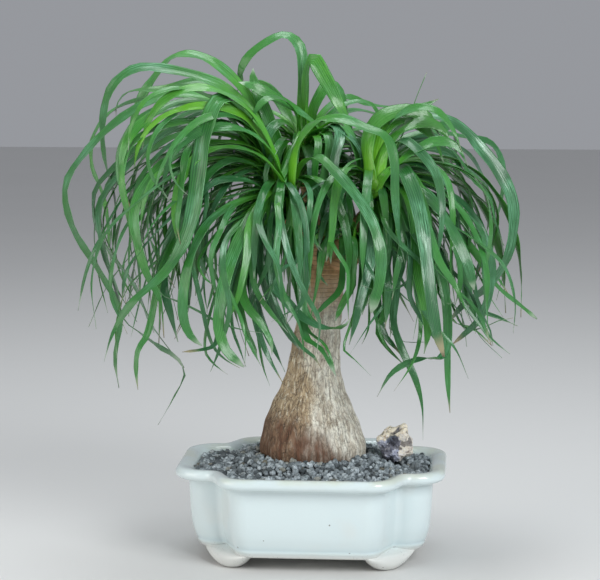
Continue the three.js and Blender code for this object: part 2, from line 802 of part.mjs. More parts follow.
// A unit bar split along its length, whose two broad faces are split into triangles alike
function stripGeometry(segments) {
  const corners = [[-0.5, 0.5], [0.5, 0.5], [0.5, -0.5], [-0.5, -0.5]];
  const places = [];
  const faces = [0, 2, 1, 0, 3, 2];
  for (let i = 0; i <= segments; i++) {
    for (const [x, y] of corners) places.push(x, y, i / segments);
  }
  for (let i = 0; i < segments; i++) {
    for (let k = 0; k < 4; k++) {
      const a = 4 * i + k;
      const b = 4 * i + ((k + 1) % 4);
      const [c, d] = [a + 4, b + 4];
      if (k === 2) faces.push(a, b, c, b, d, c);
      else faces.push(a, b, d, a, d, c);
    }
  }
  const end = 4 * segments;
  faces.push(end, end + 1, end + 2, end, end + 2, end + 3);
  const geometry = new THREE.BufferGeometry();
  geometry.setAttribute("position", new THREE.Float32BufferAttribute(places, 3));
  geometry.setIndex(faces);
  return geometry;
}

// One strap leaf: a flat section carried along the line. It starts narrow, narrows again over the
// last third and turns about its line by roll.
function makeLeaf(line, width, roll, segments) {
  const curve = new THREE.CatmullRomCurve3(line, false, "centripetal");
  const reach = line.reduce((best, point) => {
    const plan = new THREE.Vector3(point.x - line[0].x, point.y - line[0].y, 0);
    return plan.length() > best.length() ? plan : best;
  }, new THREE.Vector3(0, -0.1, 0));
  const across = new THREE.Vector3(-reach.y, reach.x, 0).normalize();
  if (across.y > 0) across.negate();
  const side = Math.sign(reach.x * across.y - reach.y * across.x) || 1;
  const geometry = stripGeometry(segments);
  const position = geometry.attributes.position;
  for (let i = 0; i < position.count; i++) {
    const t = position.getZ(i);
    const tangent = curve.getTangent(t);
    const flat = across.clone().addScaledVector(tangent, -across.dot(tangent)).normalize();
    const normal = tangent.clone().cross(flat).multiplyScalar(side);
    const angle = (roll[0] + (roll[1] - roll[0]) * t) * degrees;
    const rolled = flat.clone().multiplyScalar(Math.cos(angle)).addScaledVector(normal, -Math.sin(angle));
    const thickWay = tangent.clone().cross(rolled);
    const opened = leafBaseWidth + (1 - leafBaseWidth) * THREE.MathUtils.smoothstep(t, 0, 0.25);
    const narrowed = 1 - (1 - leafTipWidth) * Math.pow(THREE.MathUtils.smoothstep(t, 0.55, 1.15), 1.3);
    const place = curve.getPoint(t);
    place.addScaledVector(rolled, position.getX(i) * width * opened * narrowed);
    place.addScaledVector(thickWay, position.getY(i) * leafThickness);
    position.setXYZ(i, place.x, place.y, place.z);
  }
  return toSolid(geometry);
}

// Bud of rolled young leaf bases that every leaf of a head grows out of
function makeBud(name) {
  const { bud, thick } = heads[name];
  const foot = headPoint(name).add(new THREE.Vector3(0, 0, -budFoot));
  const tip = headPoint(name).add(new THREE.Vector3(0, 0, bud));
  return taperedStem([foot, foot.clone().lerp(tip, 0.5), tip], thick, thick * 0.35, 8, 2);
}

// All leaves of one head, with its bud
function makeHead(name) {
  const solids = [makeBud(name)];
  for (const leaf of shownLeaves.filter(({ head }) => head === name)) {
    const wanted = Math.round(shownSegments.perPoint * leaf.route.length);
    const segments = THREE.MathUtils.clamp(wanted, shownSegments.least, shownSegments.most);
    solids.push(makeLeaf(shownLeafLine(leaf), leaf.width, leaf.roll, segments));
  }
  for (const group of hiddenLeaves.filter(({ head }) => head === name)) {
    for (let i = 0; i < group.count; i++) {
      const share = (i + 0.25 + 0.5 * draw()) / group.count;
      const heading = (group.heading[0] + (group.heading[1] - group.heading[0]) * share) * degrees;
      const line = hiddenLeafLine(group.head, heading, drawBetween(group.length));
      const width = group.width * drawBetween([0.85, 1.15]);
      solids.push(makeLeaf(line, width, [0, drawBetween(hiddenRoll)], hiddenSegments));
    }
  }
  return wasm.Manifold.union(solids);
}

// Short bare branches that carry the heads. grow makes them thicker, to cut leaves clear of them.
function makeBranches(grow) {
  const fork = new THREE.Vector3(trunkShiftAtFork, 0, forkHeight);
  return branches.map(({ head, from, to, dip }) => {
    const end = headPoint(head).add(new THREE.Vector3(0, 0, grow - budFoot - seatGap));
    const middle = fork.clone().lerp(end, 0.5).add(new THREE.Vector3(0, 0, -dip));
    const neck = end.clone().add(new THREE.Vector3(0, 0, -8));
    return taperedStem([fork, middle, neck, end], from + grow, to + grow);
  });
}

function makeTrunk(grow) {
  const whole = makeBranches(grow).reduce((trunk, branch) => trunk.add(branch), makeTrunkBody(grow));
  return whole.rotate([0, 0, plantTurn]);
}

// Heads whose leaves cross each other are one solid, cut clear of the trunk and branches
function makeFoliage(names) {
  const leaves = wasm.Manifold.union(names.map(makeHead)).rotate([0, 0, plantTurn]);
  return largestPiece(leaves.subtract(makeTrunk(seatGap)));
}

// Stone: a ball made squarer, pushed in and out by a few waves and tilted up to the right
function makeRock(grow) {
  const geometry = new THREE.IcosahedronGeometry(1, rock.facets);
  const position = geometry.attributes.position;
  for (let i = 0; i < position.count; i++) {
    const way = new THREE.Vector3().fromBufferAttribute(position, i);
    const powers = way.toArray().reduce((sum, part) => sum + Math.abs(part) ** rock.square, 0);
    const broad = Math.sin(rockWaves.x * way.x + 1.2) * Math.sin(rockWaves.y * way.y + 0.4);
    const fine = Math.sin(rockWaves.z * way.z - rockWaves.lean * way.x);
    const length = powers ** (-1 / rock.square) * (1 + rock.roughness * (broad + rockWaves.fine * fine));
    position.setXYZ(i, ...[0, 1, 2].map((k) => way.getComponent(k) * length * rock.size[k]));
  }
  const larger = [0, 1, 2].map((k) => 1 + grow / rock.size[k]);
  const tilted = toSolid(geometry).scale(larger).rotate([0, -rock.tilt, 0]);
  return tilted.translate(rock.at).rotate([0, 0, plantTurn]);
}

// Height of the gravel before it is broken into grains: it is mounded at the trunk
function gravelTopAt(x, y) {
  const fall = THREE.MathUtils.smoothstep(Math.hypot(x, y), ...gravelMound);
  return gravelEdgeTop + (gravelMoundTop - gravelEdgeTop) * (1 - fall);
}

// A repeatable share from 0 to 1 for a place in the grid of grains
function scatterAt(column, row) {
  const [byColumn, byRow, size] = gravelScatter;
  const wave = Math.sin(column * byColumn + row * byRow) * size;
  return wave - Math.floor(wave);
}

// Slab with a four-sided grain in each cell of its top: a peak in the cell and valleys at its corners.
// Whole numbers in the grid are corners and halves are peaks. The slab narrows to one point below.
function makeGrainSlab() {
  const [columns, rows] = gravelCells;
  const points = [];
  const placeOf = new Map();
  const pointAt = (column, row, reach) => {
    const key = [column, row].join();
    if (!placeOf.has(key)) {
      const [strayX, strayY] = [scatterAt(column, row), scatterAt(row + columns, column)];
      const x = ((column + gravelStray * (2 * strayX - 1)) / columns - 0.5) * 2 * potHalfLength;
      const y = ((row + gravelStray * (2 * strayY - 1)) / rows - 0.5) * 2 * potHalfDepth;
      const share = scatterAt(column + rows, row + columns);
      placeOf.set(key, points.length / 3);
      points.push(x, y, gravelTopAt(x, y) + THREE.MathUtils.lerp(...reach, share));
    }
    return placeOf.get(key);
  };
  const faces = [];
  for (let column = 0; column < columns; column++) {
    for (let row = 0; row < rows; row++) {
      const cornerPlaces = [[0, 0], [1, 0], [1, 1], [0, 1]];
      const corners = cornerPlaces.map(([x, y]) => pointAt(column + x, row + y, gravelValley));
      const peak = pointAt(column + 0.5, row + 0.5, gravelPeak);
      corners.forEach((corner, i) => faces.push(corner, corners[(i + 1) % 4], peak));
    }
  }
  const rim = [];
  for (let column = 0; column < columns; column++) rim.push([column, 0]);
  for (let row = 0; row < rows; row++) rim.push([columns, row]);
  for (let column = columns; column > 0; column--) rim.push([column, rows]);
  for (let row = rows; row > 0; row--) rim.push([0, row]);
  const foot = points.length / 3;
  points.push(0, 0, gravelSlabFoot);
  rim.forEach(([column, row], i) => {
    const after = rim[(i + 1) % rim.length];
    faces.push(placeOf.get(after.join()), placeOf.get([column, row].join()), foot);
  });
  const geometry = new THREE.BufferGeometry();
  geometry.setAttribute("position", new THREE.Float32BufferAttribute(points, 3));
  return geometry.setIndex(faces);
}

// Gravel: follows the pot's wall and rises to the trunk, with its top broken into grains
function makeGravel() {
  const heights = [mixTop + seatGap, 78, gravelEdgeTop + gravelPeak[0]];
  const side = heights.map((z) => [wallInsetAt(z) + wallGap, z]);
  const top = [side[2][0] + gravelEdgeIn, gravelMoundTop + 2 * gravelPeak[1]];
  const bed = toSolid(lobedLathe([[...side[0], 0], ...side, top, [...top, 0]]));
  const filled = bed.intersect(toSolid(makeGrainSlab())).subtract(makeTrunk(seatGap));
  return filled.subtract(makeRock(rockGap));
}

// Potting mix: fills the pot up to the gravel, round the buried foot of the trunk and over the screens
function makePottingMix() {
  const rows = potSection.slice(innerWallRow).filter(([, z]) => z < mixTop);
  const side = rows.map(([inset, z]) => [inset + wallGap, z + seatGap]);
  const top = [wallInsetAt(mixTop) + wallGap, mixTop];
  const last = side[side.length - 1];
  let mix = toSolid(lobedLathe([[...top, 0], top, ...side, [...last, 0]]));
  for (const x of [-drainX, drainX]) {
    const width = screen.side + 2 * seatGap;
    const pocket = new THREE.BoxGeometry(width, width, 2 * (screen.thickness + 2 * seatGap));
    mix = mix.subtract(toSolid(pocket.translate(x, 0, floorTop)));
  }
  return mix.subtract(makeTrunk(seatGap));
}

const pieces = new THREE.Group();
pieces.add(
  namedMesh("pot", toGeometry(makePot()), 0xe6ebe3, 0.18),
  namedMesh("drain_screen_left", toGeometry(makeScreen(-drainX)), 0x2a2c2b, 0.6),
  namedMesh("drain_screen_right", toGeometry(makeScreen(drainX)), 0x2a2c2b, 0.6),
  namedMesh("potting_mix", toGeometry(makePottingMix()), 0x3b2c22, 0.95),
  namedMesh("gravel", toGeometry(makeGravel()), 0x77797a, 0.85),
  namedMesh("trunk", toGeometry(makeTrunk(0)), 0xa88660, 0.85),
  namedMesh("upper_leaf_heads", toGeometry(makeFoliage(["left", "right", "mid"])), 0x3f8a3a, 0.42),
  namedMesh("low_leaf_head", toGeometry(makeFoliage(["low"])), 0x4f9a3c, 0.42),
  namedMesh("rock", toGeometry(makeRock(0)), 0x8d8391, 0.8),
);

// The part stands on its origin: the middle of its outer box, at the underside of the feet
const part = new THREE.Group();
part.add(pieces);
const outerBox = new THREE.Box3().setFromObject(pieces);
const middle = outerBox.getCenter(new THREE.Vector3());
pieces.position.set(-middle.x, -middle.y, -outerBox.min.z);

export default part;
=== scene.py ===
import bmesh
import bpy
import numpy as np
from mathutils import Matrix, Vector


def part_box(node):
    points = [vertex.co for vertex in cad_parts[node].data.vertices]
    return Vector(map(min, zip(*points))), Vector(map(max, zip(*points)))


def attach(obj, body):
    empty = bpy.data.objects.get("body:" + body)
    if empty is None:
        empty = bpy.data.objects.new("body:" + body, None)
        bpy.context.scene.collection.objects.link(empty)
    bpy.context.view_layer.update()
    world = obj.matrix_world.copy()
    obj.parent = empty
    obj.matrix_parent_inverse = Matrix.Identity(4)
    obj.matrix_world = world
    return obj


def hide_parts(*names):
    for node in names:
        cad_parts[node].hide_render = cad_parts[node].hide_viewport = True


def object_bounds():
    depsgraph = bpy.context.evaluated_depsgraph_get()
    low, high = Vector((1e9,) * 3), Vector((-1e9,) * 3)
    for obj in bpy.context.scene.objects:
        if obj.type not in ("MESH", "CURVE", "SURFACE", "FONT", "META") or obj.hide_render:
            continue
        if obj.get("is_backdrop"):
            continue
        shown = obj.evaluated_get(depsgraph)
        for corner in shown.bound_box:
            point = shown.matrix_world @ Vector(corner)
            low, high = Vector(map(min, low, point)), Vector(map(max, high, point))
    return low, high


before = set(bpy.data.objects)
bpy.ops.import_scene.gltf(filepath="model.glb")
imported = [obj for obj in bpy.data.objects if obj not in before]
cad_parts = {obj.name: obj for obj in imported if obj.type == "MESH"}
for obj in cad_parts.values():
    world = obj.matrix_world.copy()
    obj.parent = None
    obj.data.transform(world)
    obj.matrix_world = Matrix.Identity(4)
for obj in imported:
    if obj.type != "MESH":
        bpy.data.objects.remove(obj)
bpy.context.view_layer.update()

potLow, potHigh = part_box("pot")
potMiddle = np.array([(potLow.x + potHigh.x) / 2, (potLow.y + potHigh.y) / 2, potLow.z])
plantTurn = 4.5  # degrees that the plant and the view are turned against the pot


# Small tools for points and curves

def toFrame(points):
    return points / 1000 + potMiddle


def turned(points, angle=plantTurn):
    # Turns points about the pot's upright axis by an angle in degrees
    c, s = np.cos(np.radians(angle)), np.sin(np.radians(angle))
    x, y, z = np.moveaxis(points, -1, 0)
    return np.stack([x * c - y * s, x * s + y * c, z], axis=-1)


def smoothStep(value, low, high):
    # Rises from 0 at low to 1 at high, level at both ends
    t = np.clip((value - low) / (high - low), 0, 1)
    return t * t * (3 - 2 * t)


def unit(vectors):
    return vectors / np.maximum(np.linalg.norm(vectors, axis=-1, keepdims=True), 1e-9)


def anglesRound(count):
    return np.linspace(0, 2 * np.pi, count, endpoint=False)


def curveThrough(points, perSegment=14):
    # Centripetal Catmull-Rom curve: between two points a cubic whose end slopes come from their
    # neighbours, weighted by the square roots of the distances. Returns places and their share 0 to 1.
    p = np.asarray(points, float)
    p = np.vstack([2 * p[:1] - p[1:2], p, 2 * p[-1:] - p[-2:-1]])
    step = np.maximum(np.linalg.norm(np.diff(p, axis=0), axis=1) ** 0.5, 1e-4)[:, None]
    slope = np.diff(p, axis=0) / step
    chord = (p[2:] - p[:-2]) / (step[1:] + step[:-1])
    tangents = slope[:-1] - chord + slope[1:]
    last = len(p) - 3
    place = np.linspace(0, last, last * perSegment + 1)
    k = np.minimum(place.astype(int), last - 1)
    w = (place - k)[:, None]
    a, b = p[1:-1][k], p[2:][k]
    ta, tb = tangents[:-1][k] * step[1:-1][k], tangents[1:][k] * step[1:-1][k]
    curve = a + ta * w + (3 * (b - a) - 2 * ta - tb) * w ** 2 + (2 * (a - b) + ta + tb) * w ** 3
    return curve, place / last


def evenSteps(curve, count, carried=None):
    # Places at even distances along a dense curve, and what else is carried along it
    reach = np.concatenate([[0], np.cumsum(np.linalg.norm(np.diff(curve, axis=0), axis=1))])
    at = np.linspace(0, reach[-1], count)
    places = np.stack([np.interp(at, reach, curve[:, k]) for k in range(curve.shape[1])], axis=1)
    if carried is None:
        return places
    return places, np.interp(at, reach, carried)


def cellNoise(points, size, seed):
    # Smooth random field from -1 to 1: random values at the corners of cubes of the given size,
    # blended with a smooth step along each side
    table = np.random.default_rng(seed).uniform(-1, 1, (32, 32, 32))
    cell = points / size
    low = np.floor(cell).astype(int)
    part = cell - low
    part = part * part * (3 - 2 * part)
    total = np.zeros(points.shape[:-1])
    for corner in np.ndindex(2, 2, 2):
        at = (low + corner) % 32
        weight = np.prod(np.where(corner, part, 1 - part), axis=-1)
        total += table[at[..., 0], at[..., 1], at[..., 2]] * weight
    return total


def layeredNoise(points, size, layers, seed):
    # Sum of fields, each with half the size and half the height of the one before
    return sum(cellNoise(points, size / 2 ** k, seed + k) / 2 ** k for k in range(layers))


def gridFaces(rows, around):
    # Four-sided faces between neighbouring rings of points, ring after ring
    row = np.arange(rows - 1)[:, None] * around
    column = np.arange(around)[None, :]
    beside = (column + 1) % around
    corners = [row + column, row + beside, row + around + beside, row + around + column]
    return np.stack(corners, -1).reshape(-1, 4)


def capFaces(ring, middle):
    # Triangles from one ring to a middle point
    return np.stack([np.full(len(ring), middle), np.roll(ring, -1), ring], -1)


def skinVolume(points, faces):
    # A sixth of the sum of a . (b x c) over all triangles: more than 0 where the faces look outwards
    total = 0
    for face in faces:
        a = points[face[:, 0]]
        for k in range(1, face.shape[1] - 1):
            total += np.sum(a * np.cross(points[face[:, k]], points[face[:, k + 1]])) / 6
    return total


def closedLoft(rings):
    # A solid skin over rings of points, closed at both ends round their middle points. Where it is
    # inside out, all its faces are turned round.
    rows, around = rings.shape[:2]
    ends = np.stack([rings[0].mean(0), rings[-1].mean(0)])
    points = np.vstack([rings.reshape(-1, 3), ends])
    first = np.arange(around)
    faces = [
        gridFaces(rows, around),
        capFaces(first, rows * around),
        capFaces(first[::-1] + (rows - 1) * around, rows * around + 1),
    ]
    if skinVolume(points - points.mean(0), faces) < 0:
        faces = [face[:, ::-1] for face in faces]
    return points, faces


def joined(parts):
    # Several (points, faces, fields) skins as one, with their fields strung together
    points = np.vstack([part[0] for part in parts])
    starts = np.cumsum([0] + [len(part[0]) for part in parts[:-1]])
    faces = []
    for start, part in zip(starts, parts):
        faces += [face + start for face in part[1]]
    bySize = []
    for size in (3, 4):
        alike = [face for face in faces if face.shape[1] == size]
        if alike:
            bySize.append(np.vstack(alike))
    fields = {}
    for key in parts[0][2]:
        fields[key] = np.concatenate([np.broadcast_to(part[2][key], len(part[0])) for part in parts])
    return points, bySize, fields


def makePiece(name, nodes, finish, points, faces, fields=None, smooth=True):
    # Puts points, faces and per-point fields into a mesh that stands for CAD nodes
    mesh = bpy.data.meshes.new(name)
    corners = np.concatenate([face.ravel() for face in faces])
    sizes = np.concatenate([np.full(len(face), face.shape[1]) for face in faces])
    mesh.vertices.add(len(points))
    mesh.vertices.foreach_set("co", toFrame(points).astype(np.float32).ravel())
    mesh.loops.add(len(corners))
    mesh.loops.foreach_set("vertex_index", corners.astype(np.int32))
    mesh.polygons.add(len(sizes))
    mesh.polygons.foreach_set("loop_start", (np.cumsum(sizes) - sizes).astype(np.int32))
    mesh.update(calc_edges=True)
    mesh.validate()
    for key, values in (fields or {}).items():
        mesh.attributes.new(key, "FLOAT", "POINT").data.foreach_set("value", values.astype(np.float32))
    if smooth:
        mesh.shade_smooth()
    mesh.materials.append(finish)
    piece = bpy.data.objects.new(name, mesh)
    bpy.context.scene.collection.objects.link(piece)
    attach(piece, "root")
    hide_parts(*nodes)
    print(f"{name}: {len(points)} points, {int(np.sum(sizes - 2))} triangles")
    return piece


# Small tools for materials

class Field:
    # Wraps a node's output, so that sums of masks and waves read as plain Python
    def __init__(self, socket):
        self.socket = socket

    def maths(self, operation, *values):
        tree = self.socket.id_data
        node = tree.nodes.new("ShaderNodeMath")
        node.operation = operation
        for slot, value in zip(node.inputs, values):
            if isinstance(value, Field):
                tree.links.new(value.socket, slot)
            else:
                slot.default_value = value
        return Field(node.outputs[0])

    def __add__(self, other):
        return self.maths("ADD", self, other)

    def __radd__(self, other):
        return self.maths("ADD", other, self)

    def __sub__(self, other):
        return self.maths("SUBTRACT", self, other)

    def __rsub__(self, other):
        return self.maths("SUBTRACT", other, self)

    def __mul__(self, other):
        return self.maths("MULTIPLY", self, other)

    def __rmul__(self, other):
        return self.maths("MULTIPLY", other, self)

    def wave(self):
        return self.maths("SINE", self)

    def size(self):
        return self.maths("ABSOLUTE", self)

    def atMost(self, other):
        return self.maths("MINIMUM", self, other)

    def atLeast(self, other):
        return self.maths("MAXIMUM", self, other)

    def step(self, low, high):
        # 0 below low and 1 above high, or the other way round where low is the larger
        tree = self.socket.id_data
        node = tree.nodes.new("ShaderNodeMapRange")
        node.interpolation_type = "SMOOTHSTEP"
        tree.links.new(self.socket, node.inputs["Value"])
        flipped = low > high
        node.inputs["From Min"].default_value = min(low, high)
        node.inputs["From Max"].default_value = max(low, high)
        node.inputs["To Min"].default_value = 1.0 if flipped else 0.0
        node.inputs["To Max"].default_value = 0.0 if flipped else 1.0
        return Field(node.outputs[0])


class Finish:
    # A material under way: a Principled shader, the nodes that feed it and the colour so far
    def __init__(self, name, colour):
        self.material = bpy.data.materials.new(name)
        self.material.use_nodes = True
        self.tree = self.material.node_tree
        self.shader = self.tree.nodes["Principled BSDF"]
        self.place = self.node("ShaderNodeTexCoord", out="Object")
        self.colour = colour

    def node(self, kind, settings=None, sockets=None, out=0):
        node = self.tree.nodes.new(kind)
        for key, value in (settings or {}).items():
            setattr(node, key, value)
        for key, value in (sockets or {}).items():
            self.feed(node.inputs[key], value)
        return Field(node.outputs[out])

    def feed(self, slot, value):
        if isinstance(value, Field):
            self.tree.links.new(value.socket, slot)
        elif isinstance(value, tuple) and len(value) == 3 and slot.type == "RGBA":
            slot.default_value = (*value, 1)
        else:
            slot.default_value = value

    def stretched(self, scale):
        return self.node("ShaderNodeMapping", {}, {"Vector": self.place, "Scale": scale})

    def noise(self, scale, detail=3, vector=None, roughness=0.5):
        sockets = {"Vector": vector or self.place, "Scale": scale, "Detail": detail, "Roughness": roughness}
        return self.node("ShaderNodeTexNoise", {}, sockets)

    def cells(self, scale, feature="F1", vector=None, out="Distance"):
        return self.node("ShaderNodeTexVoronoi", {"feature": feature},
                         {"Vector": vector or self.place, "Scale": scale}, out)

    def field(self, name):
        return self.node("ShaderNodeAttribute", {"attribute_name": name}, out="Fac")

    def part(self, axis, vector):
        # One of the three numbers of a vector or a colour
        return self.node("ShaderNodeSeparateXYZ", {}, {"Vector": vector}, axis)

    def millimetres(self, axis):
        # Where a place is along one axis of the frame, in millimetres
        return self.part(axis, self.place) * 1000

    def blend(self, share, first, second):
        # A share of the second colour over the first
        node = self.tree.nodes.new("ShaderNodeMix")
        node.data_type = "RGBA"
        for slot, value in ((0, share), (6, first), (7, second)):
            self.feed(node.inputs[slot], value)
        return Field(node.outputs[2])

    def over(self, share, colour):
        # Lays a share of a colour over the colour so far
        self.colour = self.blend(share, self.colour, colour)

    def relief(self, height, distance, strength):
        sockets = {"Height": height, "Distance": distance, "Strength": strength}
        self.feed(self.shader.inputs["Normal"], self.node("ShaderNodeBump", {}, sockets, "Normal"))

    def done(self, **sockets):
        # The other sockets are named without spaces, as in CoatWeight
        self.feed(self.shader.inputs["Base Color"], self.colour)
        names = {key.replace(" ", ""): key for key in self.shader.inputs.keys()}
        for key, value in sockets.items():
            self.feed(self.shader.inputs[names[key]], value)
        return self.material


# Pot

pot = {
    "halfLength": 122.5,
    "halfDepth": 101,
    "endLobeHalfDepth": 66,
    "notchOuterX": 88,
    "notchInnerX": 73,
    "endRadius": 28,
    "notchRadius": 9,
    "lobeRadius": 24,
    "squareInset": 70,
    # from the underside over the rim to the floor: distance in from the rim's outer edge, height
    "section": [
        [24, 13], [21.6, 13.3], [20.3, 14.6], [19.4, 16.6], [18.3, 18.4], [18.6, 19.9], [17.9, 21.4],
        [16.6, 25], [14.6, 32], [13.2, 42], [12.2, 56], [11.6, 68], [11.2, 74.6], [9.9, 76.6], [6, 77.3],
        [2.6, 78.3], [0.5, 80.6], [0, 83], [0.9, 85.9], [2.8, 87.6], [5.4, 88], [9, 87.3], [12, 86],
        [14.6, 83.4], [16.6, 78.5], [18.5, 60], [20, 40], [21.6, 30], [25.5, 24], [30, 21.8], [36, 21],
    ],
    "sectionRows": 132,
    "ringsInwards": [0.8, 0.55, 0.3, 0.08],  # scales of the rings that close the underside and the floor
    # points along a quarter: straight, corner, straight, notch, straight, corner, straight
    "outlineSteps": [10, 22, 5, 12, 8, 20, 22],
    "wobble": 0.45,
    "wobbleSize": 52,
    "wobbleFrom": (13, 24),
    "drainRadius": 8,
    "drainX": 46,
    "drillMiddle": 17,
    "drillLength": 40,
    "drillSides": 48,
    "footMiddle": [70, 55.5],
    "footLean": [5, 2.3],
    # height, half length across the corner, half width outwards and inwards
    "footRows": [
        [0, 6.2, 5.2, 5.2], [0.15, 7.6, 6.4, 6.6], [1.5, 12.2, 8.7, 9], [6, 20, 10.4, 14],
        [11, 26.6, 8.8, 18], [13.6, 29.6, 5, 20], [15, 30.3, 1, 21], [16.5, 28, -3, 20], [18, 24, -7, 18],
    ],
    "footSquare": 2.2,
    "footAround": 96,
    "footSteps": 44,
    "glaze": (0.70, 0.80, 0.81),
    "glazeThin": (0.67, 0.72, 0.60),
    "glazePool": (0.60, 0.74, 0.78),
    "glazeCloud": (0.74, 0.745, 0.70),
    "glazeFoot": (0.76, 0.745, 0.70),
    "speck": (0.07, 0.055, 0.045),
    # heights from none to full of what the glaze does
    "thinOnRim": (82, 87),
    "thinUnderLedge": (20.5, 18.4),
    "thinOverBase": (14.5, 17),
    "poolsAt": (27, 20),
    "warmAt": (21, 13),
    "specksGatherAt": (24, 10),
    "specksPerMetre": 170,
    "dustPerMetre": 480,
}


def potOutline(inset):
    # Lobed plan outline for each inset: straight sides, round outer corners and a hollow notch,
    # worked out for a quarter and mirrored. Returns rows of points, anticlockwise.
    inset = np.atleast_1d(np.asarray(inset, float))
    dx, dy = pot["notchInnerX"] - pot["notchOuterX"], pot["halfDepth"] - pot["endLobeHalfDepth"]
    sx, sy = dx / np.hypot(dx, dy), dy / np.hypot(dx, dy)
    slantX, slantY = pot["notchOuterX"] - inset * sy, pot["endLobeHalfDepth"] + inset * sx
    endY, lobeY = pot["endLobeHalfDepth"] - inset, pot["halfDepth"] - inset
    soft = 1 - inset / pot["squareInset"]

    def onSlant(y):
        return slantX + sx / sy * (y - slantY)

    corners = [
        (pot["halfLength"] - inset, endY, pot["endRadius"] * soft),
        (onSlant(endY), endY, pot["notchRadius"] * soft),
        (onSlant(lobeY), lobeY, pot["lobeRadius"] * soft),
    ]
    stops = [np.stack([corners[0][0], 0 * inset], -1)]
    stops += [np.stack([x, y], -1) for x, y, _ in corners] + [np.stack([0 * inset, corners[2][1]], -1)]
    straights, bends = pot["outlineSteps"][0::2], pot["outlineSteps"][1::2]
    quarter = []
    lastEnd = stops[0]
    for k, (_, _, radius) in enumerate(corners):
        here = stops[k + 1]
        back, ahead = unit(stops[k] - here), unit(stops[k + 2] - here)
        half = np.arccos(np.clip(np.sum(back * ahead, -1), -1, 1)) / 2
        reach = (radius / np.tan(half))[:, None]
        start, end = here + back * reach, here + ahead * reach
        middle = here + unit(back + ahead) * (radius / np.sin(half))[:, None]
        a, b = start - middle, end - middle
        sweep = np.arctan2(a[:, 0] * b[:, 1] - a[:, 1] * b[:, 0], np.sum(a * b, -1))
        t = np.arange(straights[k]) / straights[k]
        quarter.append(lastEnd[:, None] + (start - lastEnd)[:, None] * t[:, None])
        turn = sweep[:, None] * np.arange(bends[k]) / bends[k]
        c, s = np.cos(turn), np.sin(turn)
        arc = np.stack([a[:, :1] * c - a[:, 1:] * s, a[:, :1] * s + a[:, 1:] * c], -1)
        quarter.append(middle[:, None] + arc)
        lastEnd = end
    t = (np.arange(straights[3] + 1) / straights[3])[:, None]
    quarter.append(lastEnd[:, None] + (stops[4] - lastEnd)[:, None] * t)
    quarter = np.concatenate(quarter, axis=1)
    left = quarter[:, ::-1][:, 1:] * [-1, 1]
    upper = np.concatenate([quarter, left], axis=1)
    lower = upper[:, 1:-1] * [1, -1]
    return np.concatenate([upper, lower[:, ::-1]], axis=1)


def lobedRings(section):
    # The outline at each [inset, height, scale] row, drawn in towards the axis by scale
    inset, height, scale = np.asarray(section, float).T
    plan = potOutline(inset) * scale[:, None, None]
    level = np.broadcast_to(height[:, None], plan.shape[:2])
    return np.concatenate([plan, level[..., None]], axis=-1)


def makePotSkin():
    # The section curve carried round the outline, its ends drawn in to the axis, and the wall pushed in
    # and out a little by slow noise, as by hand
    rows = evenSteps(curveThrough(pot["section"])[0], pot["sectionRows"])
    rows = np.hstack([rows, np.ones((len(rows), 1))])
    under, floor = ([[*row[:2], scale] for scale in pot["ringsInwards"]] for row in (rows[0], rows[-1]))
    rings = lobedRings(np.vstack([under[::-1], rows, floor]))
    wobble = layeredNoise(rings * [1, 1, 0.6], pot["wobbleSize"], 2, 11)[..., None]
    outwards = unit(rings * [1, 1, 0])
    away = smoothStep(rings[..., 2:], *pot["wobbleFrom"]) * pot["wobble"]
    return closedLoft(rings + outwards * wobble * away)


def makeFootSkin(sideX, sideY):
    # Foot: at each height a squarish oval across the corner, |c|^n + |s|^n = 1 round it, with its own
    # half width on the outer and the inner side, and leaning towards the corner as it rises
    rows = evenSteps(curveThrough(pot["footRows"])[0], pot["footSteps"])
    height, along, outward, inward = rows.T[..., None]
    angle = anglesRound(pot["footAround"])[None]
    c, s = np.cos(angle), np.sin(angle)
    reach = (np.abs(c) ** pot["footSquare"] + np.abs(s) ** pot["footSquare"]) ** (-1 / pot["footSquare"])
    u = along * c * reach / np.sqrt(2)
    v = np.where(s > 0, outward, inward) * s * reach / np.sqrt(2)
    shift = height / pot["footRows"][-2][0]
    x = sideX * (pot["footMiddle"][0] + pot["footLean"][0] * shift + v - u)
    y = sideY * (pot["footMiddle"][1] + pot["footLean"][1] * shift + v + u)
    return closedLoft(np.stack([x, y, height + 0 * x], -1))


